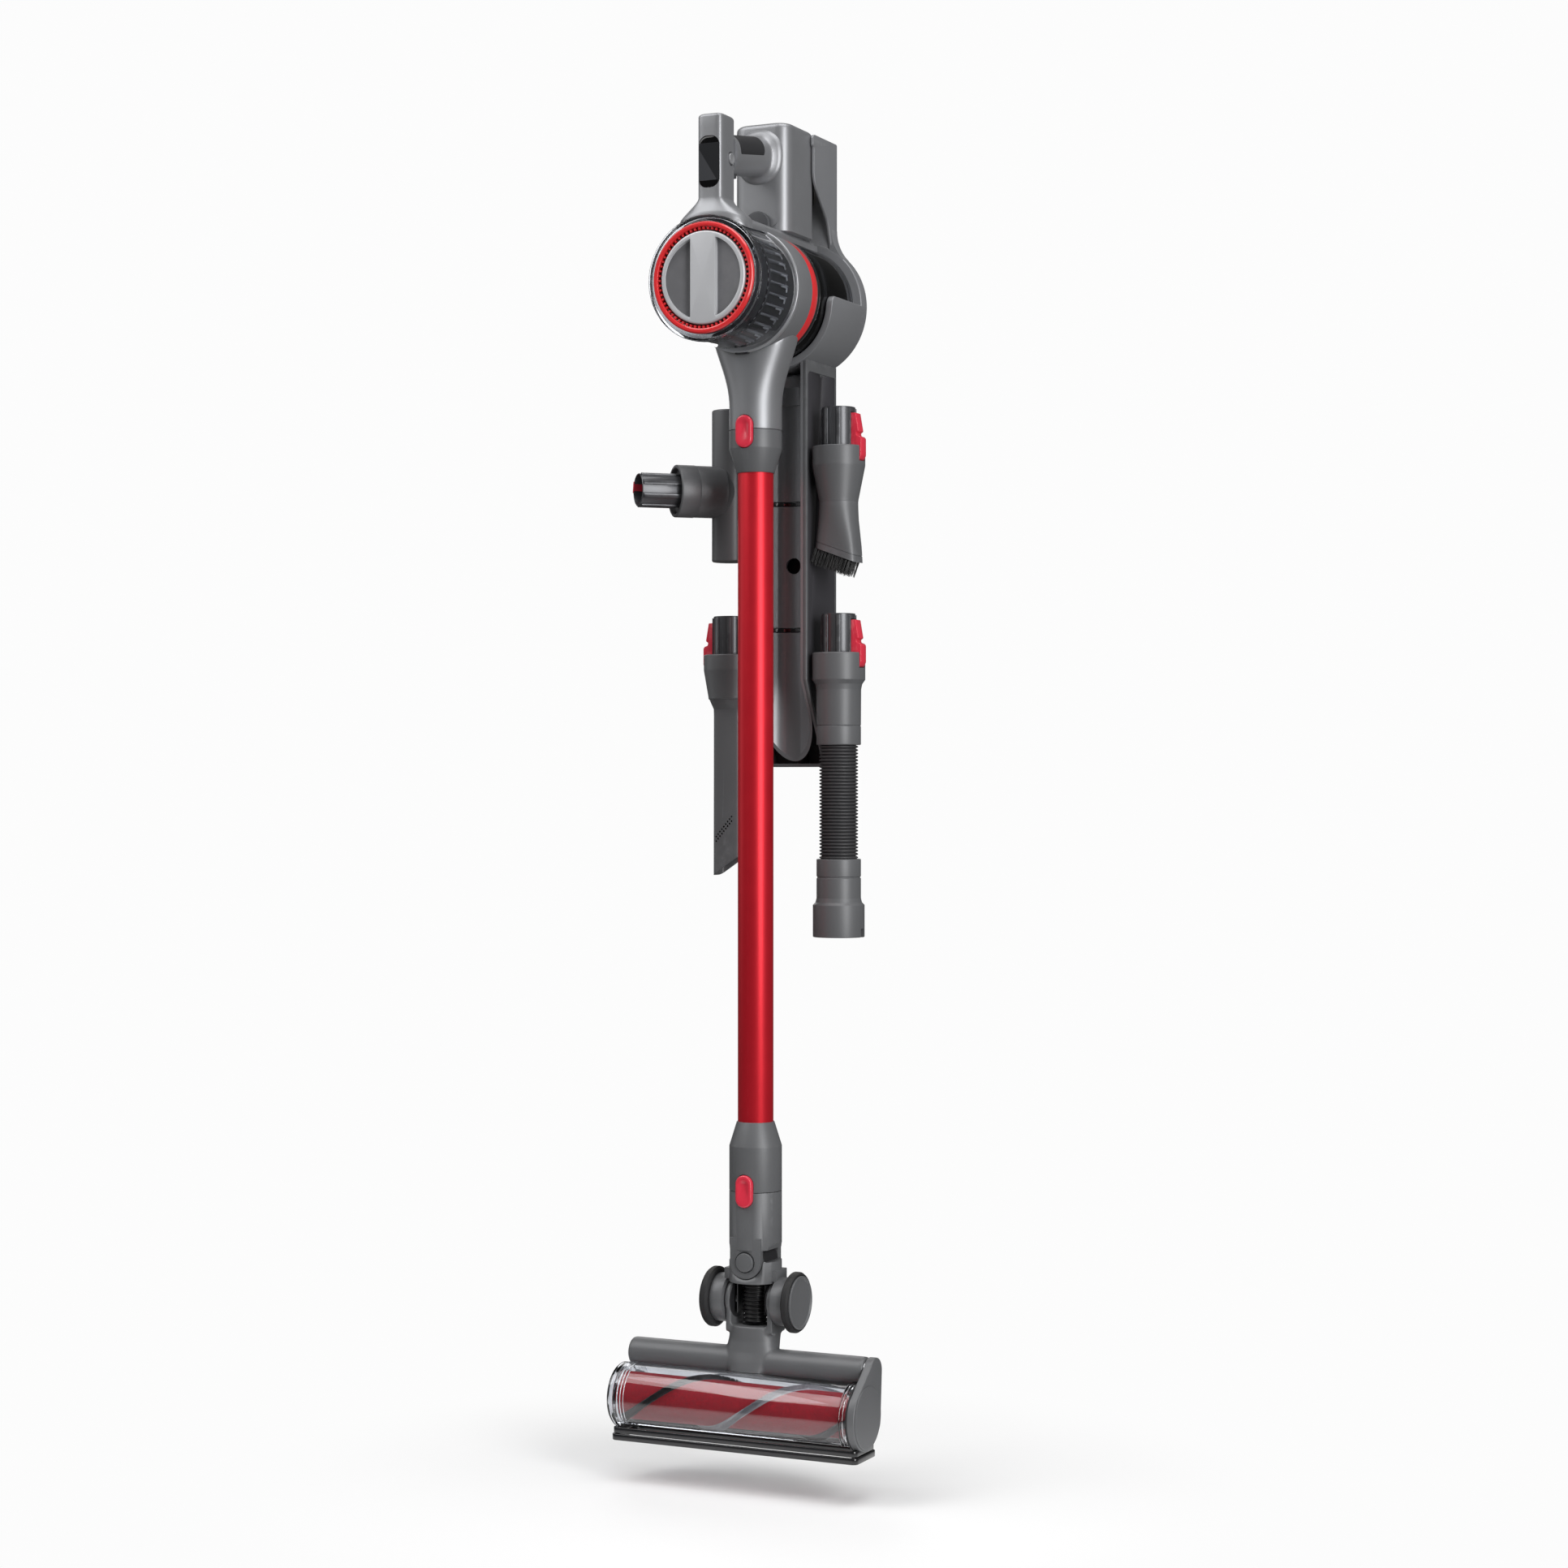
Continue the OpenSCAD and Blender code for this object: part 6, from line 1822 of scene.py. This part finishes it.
def makeDustingBrush():
    top = tools["brushTop"]
    z = top - tools["spigotLong"]
    centre = (toolX, toolY)
    lipZ = -161*mm
    collar = lathe("collar", "Z", centre, collarProfile(top, 52*mm, 18*mm), 96, 1.2*mm, 4)
    rings, hollow = [], []
    for share, a, d, power in ((0, 18, 18, 2), (0.12, 18, 17.4, 2.1), (0.3, 18.3, 16, 2.4),
            (0.5, 19.3, 14.6, 3.0), (0.7, 20.3, 13.6, 3.8), (0.86, 20.8, 13.1, 4.4),
            (1.0, 21, 13, 4.8)):
        level = between(z - 50*mm, lipZ - 10*mm, share)
        for found, thin in ((rings, 0), (hollow, 3.2)):
            found.append([Vector((centre[0] + p.x, centre[1] + p.y, level))
                for p in superOutline((a - thin)*mm, (d - thin)*mm, power, 72)])
    body = loft("brushBody", rings)
    inside = moveBy(loft("brushHollow", hollow), (0, 0, -2*mm))
    cut, lipLine, thin = [moveBy(slantPlane(lipZ + lift*mm, tools["lean"]), (*centre, 0))
        for lift in (0, 6.5, 5.7)]
    combine(body, [inside, cut])
    groove = combine(lipLine, [thin])
    core = [[Vector((centre[0] + (p.x - centre[0]) * 0.975, centre[1] + (p.y - centre[1]) * 0.962,
        p.z)) for p in ring] for ring in rings]
    combine(groove, [loft("grooveCore", core)])
    combine(body, [groove])
    softShade(body, 30)
    brush = cutTogether("dusting_brush_body", [collar, body],
        lambda: [latchRoom(1, top), hookRoom(1, z - 11*mm)])
    plug = combine(spigot(1, top), [latchRoom(1, top)])
    plug.name = "dusting_brush_plug"
    settle(softShade(plug, 32), "dusting_brush", plugShell)
    settle(softShade(brush, 32), "dusting_brush", greyShell, "dusting_brush")
    # four rows of tufts under the lip
    points, faces = [], []
    for row in range(4):
        for k in range(11):
            first = len(points)
            for u, v in ((-1, -1), (1, -1), (1, 1), (-1, 1)):
                x = -17*mm + 3.3*mm * k + row % 2*mm + u * 1.1*mm
                y = -9.6*mm + 6.4*mm * row + v * 0.9*mm
                points.append(Vector((centre[0] + x, centre[1] + y,
                    lipZ + 3.2*mm - tan(tools["lean"]) * x)))
            faces.append((first, first + 3, first + 2, first + 1))
    bristles = useTree(addPiece("dusting_brush_bristles", points, faces), bristleField,
        {"Density": 6500000.0, "Bristle Length": 19*mm, "Bristle Radius": 0.2*mm, "Lean": 0.06,
        "Seed": 9, "Material": bristleBlack})
    settle(bristles, "dusting_brush", bristleBlack, "dusting_bristles")


def makeCreviceTool():
    top = tools["lowerTop"]
    z = top - tools["spigotLong"]
    centre = (-toolX, toolY)
    bladeTop, tip = z - 51*mm, z - 207*mm
    collar = lathe("collar", "Z", centre, collarProfile(top, 42*mm, 20*mm), 96, 1.2*mm, 4)
    rings, hollow = [], []
    for level, a, d, power in ((z - 40*mm, 19.6, 19.6, 2), (z - 43*mm, 18.4, 18, 2.2),
            (z - 47*mm, 16, 14, 3), (bladeTop, 14, 10.4, 4.6), (bladeTop - 6*mm, 13.8, 10, 5),
            (tip + 3*mm, 14, 10, 5), (tip, 14, 10, 5)):
        for found, thin in ((rings, 0), (hollow, 2.6)):
            found.append([Vector((centre[0] + p.x, centre[1] + p.y, level))
                for p in superOutline((a - thin)*mm, (d - thin)*mm, power, 72)])
    body = loft("blade", rings)
    inside = moveBy(loft("bladeHollow", hollow), (0, 0, -2*mm))
    combine(body, [inside, moveBy(slantPlane(tip + 10*mm, -tools["tipLean"]), (*centre, 0))])
    holes = []
    for row in tools["holeRows"]:
        for k in range(tools["holes"]):
            u, v = -9.5*mm + 2.0*mm * k, 16.5*mm + 2.35*mm * k + row * 4.2*mm
            holes.append(lathe("hole", "Y", (centre[0] + u, tip + 16*mm + v),
                section(0, 0.95*mm, -0.09, -0.01), 12, 0))
    combine(body, [joinPieces("holes", holes)])
    softShade(body, 30)
    tool = cutTogether("crevice_body", [collar, body], lambda: [latchRoom(-1, top),
        hookRoom(-1, z - 11*mm)])
    plug = combine(spigot(-1, top), [latchRoom(-1, top)])
    plug.name = "crevice_plug"
    settle(softShade(plug, 32), "crevice_tool", plugShell)
    settle(softShade(tool, 32), "crevice_tool", greyShell, "crevice_tool")


def makeHose():
    top = tools["lowerTop"]
    z = top - tools["spigotLong"]
    centre = (toolX, toolY)
    a, b = high("hose_bellows", 2), low("hose_bellows", 2)
    cuff, bore = 20.5*mm, tools["bore"]
    collar = lathe("collar", "Z", centre, [(bore, a), (cuff, a), (cuff, a + 17*mm),
        (cuff - 0.5*mm, a + 17.3*mm), (cuff - 0.5*mm, a + 17.9*mm), (cuff, a + 18.2*mm),
        (cuff + 0.2*mm, z - 34*mm), (cuff + 1.2*mm, z - 29*mm),
        (tools["collar"] - 0.1*mm, z - 25*mm), (tools["collar"] - 0.1*mm, z - 0.8*mm),
        (tools["collar"] - 0.9*mm, z), (tools["spigot"] - 0.4*mm, z), (bore, z)], 96, 0.9*mm, 4)
    body = combine(collar, [latchRoom(1, top), hookRoom(1, z - 11*mm)])
    body.name = "hose_collar_shell"
    plug = combine(spigot(1, top), [latchRoom(1, top)])
    plug.name = "hose_plug"
    settle(softShade(plug, 32), "hose", plugShell)
    settle(softShade(body, 32), "hose", greyShell, "hose_collar")
    count = tools["bellowsRibs"]
    step = (a - b) / count
    r = 18*mm
    rib = lathe("bellowsRib", "Z", centre, [(r - 3*mm, b), (r - 2.2*mm, b),
        (r - 0.1*mm, b + step * 0.28), (r - 0.1*mm, b + step * 0.6),
        (r - 2.2*mm, b + step * 0.92), (r - 2.2*mm, b + step), (r - 3*mm, b + step)], 64, 0.35*mm,
        2)
    bellows = useTree(rib, repeatAlong, {"Count": count, "Step": (0, 0, step),
        "Material": bellowsRubber})
    bellows.name = "hose_bellows_ribs"
    tidyMesh(bellows, 4e-6)
    softShade(bellows, 50)
    paint(bellows, bellowsRubber)
    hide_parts("hose_bellows")
    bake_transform(bellows)
    end = b - 72*mm
    socket = lathe("hose_socket_shell", "Z", centre, [(bore, b - 42*mm), (bore, b), (cuff, b),
        (cuff, b - 16*mm), (cuff - 0.7*mm, b - 16.4*mm), (cuff - 0.7*mm, b - 17.4*mm),
        (cuff, b - 17.8*mm), (cuff, b - 36*mm), (cuff + 1*mm, b - 40*mm), (23.9*mm, b - 42.4*mm),
        (23.9*mm, end), (tools["spigot"], end), (tools["spigot"], b - 42*mm)], 96, 0.9*mm, 4)
    notch = cutBox((toolX + 19*mm, toolY - 3*mm, end - mm), (toolX + 30*mm, toolY + 3*mm,
        end + 8*mm))
    combine(socket, [notch])
    settle(softShade(socket, 32), "hose_socket", greyShell, "hose_socket")


def makeLatch(node, name, side, top):
    # coral spring latch: a thumb pad on the collar and a stepped arm up the plug
    z = top - tools["spigotLong"]
    x = toolX + tools["spigot"]
    padX = toolX + tools["collar"] + 0.5*mm
    outline = [(x - 2.4*mm, z - 13.8*mm), (padX - 2*mm, z - 13.8*mm), (padX, z - 9*mm),
        (padX, z + 7.5*mm), (x + 4.2*mm, z + 9*mm), (x + 3.6*mm, z + 11.5*mm),
        (x + 6*mm, z + 13*mm), (x + 3*mm, z + 30*mm), (x - 2.4*mm, z + 30*mm)]
    soft = roundCorners(outline, [0.8*mm, 4*mm, 4*mm, 3*mm, 1.2*mm, 1.2*mm, 1.4*mm, 1*mm, 0.6*mm],
        5)
    if side < 0:
        soft = [Vector((-p.x, p.y)) for p in reversed(soft)]
    settle(slab(name, soft, "XZ", toolY - 5.9*mm, toolY + 5.9*mm, 0.7*mm), node, coralGloss, node)


def outwards(piece):
    # stands a shape made along Z at the origin out from the mini brush, towards the front left
    direction = Vector((-1, -1, 0)).normalized()
    turn = direction.to_track_quat("Z", "Y").to_matrix().to_4x4()
    centre = Vector((-toolX, toolY, -99*mm))
    piece.data.transform(Matrix.Translation(centre) @ turn)
    return piece


def makeMiniBrush():
    centre = (-toolX, toolY)
    bottom, top = endsOf("mini_brush_body", 2)
    r = 17*mm
    solids = [lathe("barrel", "Z", centre, section(0, r - 0.1*mm, bottom, top), 96, 1.6*mm, 4),
        softenEdges(cutBox((-toolX - 9*mm, toolY, -104*mm), (-toolX + 9*mm, toolY + 24.4*mm,
        -59.2*mm)), 1.4*mm, 3), outwards(lathe("neck", "Z", (0, 0),
        [(0, 0), (16*mm, 0), (24.2*mm, 9*mm), (24.2*mm, 37*mm), (0, 37*mm)], 96, 2*mm))]
    body = combine(solids[0], solids[1:], "UNION")
    ring = outwards(lathe("neckRing", "Z", (0, 0), [(tools["spigot"] - 0.4*mm, 36*mm),
        (24.5*mm, 36*mm), (24.5*mm, 53.4*mm), (23.2*mm, 54*mm), (21.4*mm, 54*mm),
        (21.4*mm, 49*mm), (tools["spigot"] - 0.4*mm, 49*mm)], 96, 0.4*mm))
    cutters = [lathe("rollerRoom", "Z", centre, section(0, 15*mm, bottom + 4*mm, top - 4*mm), 72,
        0), lathe("pinRoom", "Z", centre, section(0, 3.1*mm, bottom + 0.9*mm, top - 0.9*mm), 32,
        0), cutBox((-toolX + 8*mm, toolY - 9*mm, bottom + 8*mm),
        (-toolX + 20*mm, toolY + 9*mm, top - 8*mm)), outwards(lathe("bore", "Z", (0, 0),
        section(0, tools["bore"], 12*mm, 0.1), 72, 0))]
    plug = outwards(moveBy(spigot(-1, 0), (toolX, -toolY, 90*mm)))
    combine(body, cutters + [hookRoom(-1, -64*mm)])
    plug.name = "mini_brush_plug"
    settle(softShade(plug, 32), "mini_brush", plugShell)
    whole = joinPieces("mini_brush_shell", [softShade(body, 30), ring])
    settle(softShade(whole, 32), "mini_brush", greyShell, "mini_brush_body")
    clip = slab("mini_brush_clip", roundedBox(11*mm, 2.6*mm, 1*mm), "XY", 60*mm, 90.2*mm, 0.5*mm,
        (0, tools["spigot"] - 1.6*mm))
    clip.data.transform(Matrix.Rotation(radians(76), 4, "Z"))
    settle(outwards(clip), "mini_brush", coralGloss)
    window = slab("mini_brush_window", roundedBox(17.4*mm, top - bottom - 16.6*mm, 1*mm), "YZ",
        -toolX + 14.4*mm, -toolX + 15.6*mm, 0.3*mm, (toolY, (top + bottom) / 2))
    settle(window, "mini_brush", clearCover)


def makeMiniRoller():
    centre = (-toolX, toolY)
    a, b = endsOf("mini_brush_roller", 2)
    r = 11.4*mm
    core = lathe("mini_roller_core", "Z", centre, [(0, a + 0.1*mm), (2.9*mm, a + 0.1*mm),
        (2.9*mm, a + 3.2*mm), (r, a + 3.2*mm), (r, b - 3.2*mm), (2.9*mm, b - 3.2*mm),
        (2.9*mm, b - 0.1*mm), (0, b - 0.1*mm)], 72, 0.5*mm)
    settle(core, "mini_roller", rollerFelt, "mini_brush_roller")
    points, faces = [], []
    for row in range(4):
        first = len(points)
        for k in range(25):
            angle = tau * row / 4 + 1.1 * tau * k / 24
            level = between(a + 6*mm, b - 6*mm, k / 24)
            for side in (-0.11, 0.11):
                points.append(Vector((centre[0] + (r - 0.3*mm) * cos(angle + side),
                    centre[1] + (r - 0.3*mm) * sin(angle + side), level)))
        faces += [(first + 2 * k, first + 2 * k + 1, first + 2 * k + 3, first + 2 * k + 2)
            for k in range(24)]
    tufts = useTree(addPiece("mini_roller_tufts", points, faces), bristleField,
        {"Density": 2600000.0, "Bristle Length": 2.8*mm, "Bristle Radius": 0.3*mm, "Lean": 0.04,
        "Seed": 3, "Material": bristleBlack})
    settle(tufts, "mini_roller", bristleBlack)


makeDustingBrush()
makeCreviceTool()
makeHose()
for node, side, plugTop in (("brush_latch", 1, "brushTop"), ("hose_latch", 1, "lowerTop"),
        ("crevice_latch", -1, "lowerTop")):
    makeLatch(node, node + "_lever", side, tools[plugTop])
makeMiniBrush()
makeMiniRoller()

# what is left keeps its CAD shape and gets a finish
print("inner parts")
innerFinishes = {"battery_cells": cellWrap, "head_motor": wornSteel, "drive_belt": softRubber}
for node, material in innerFinishes.items():
    paint(nodes[node], material)

print("done")
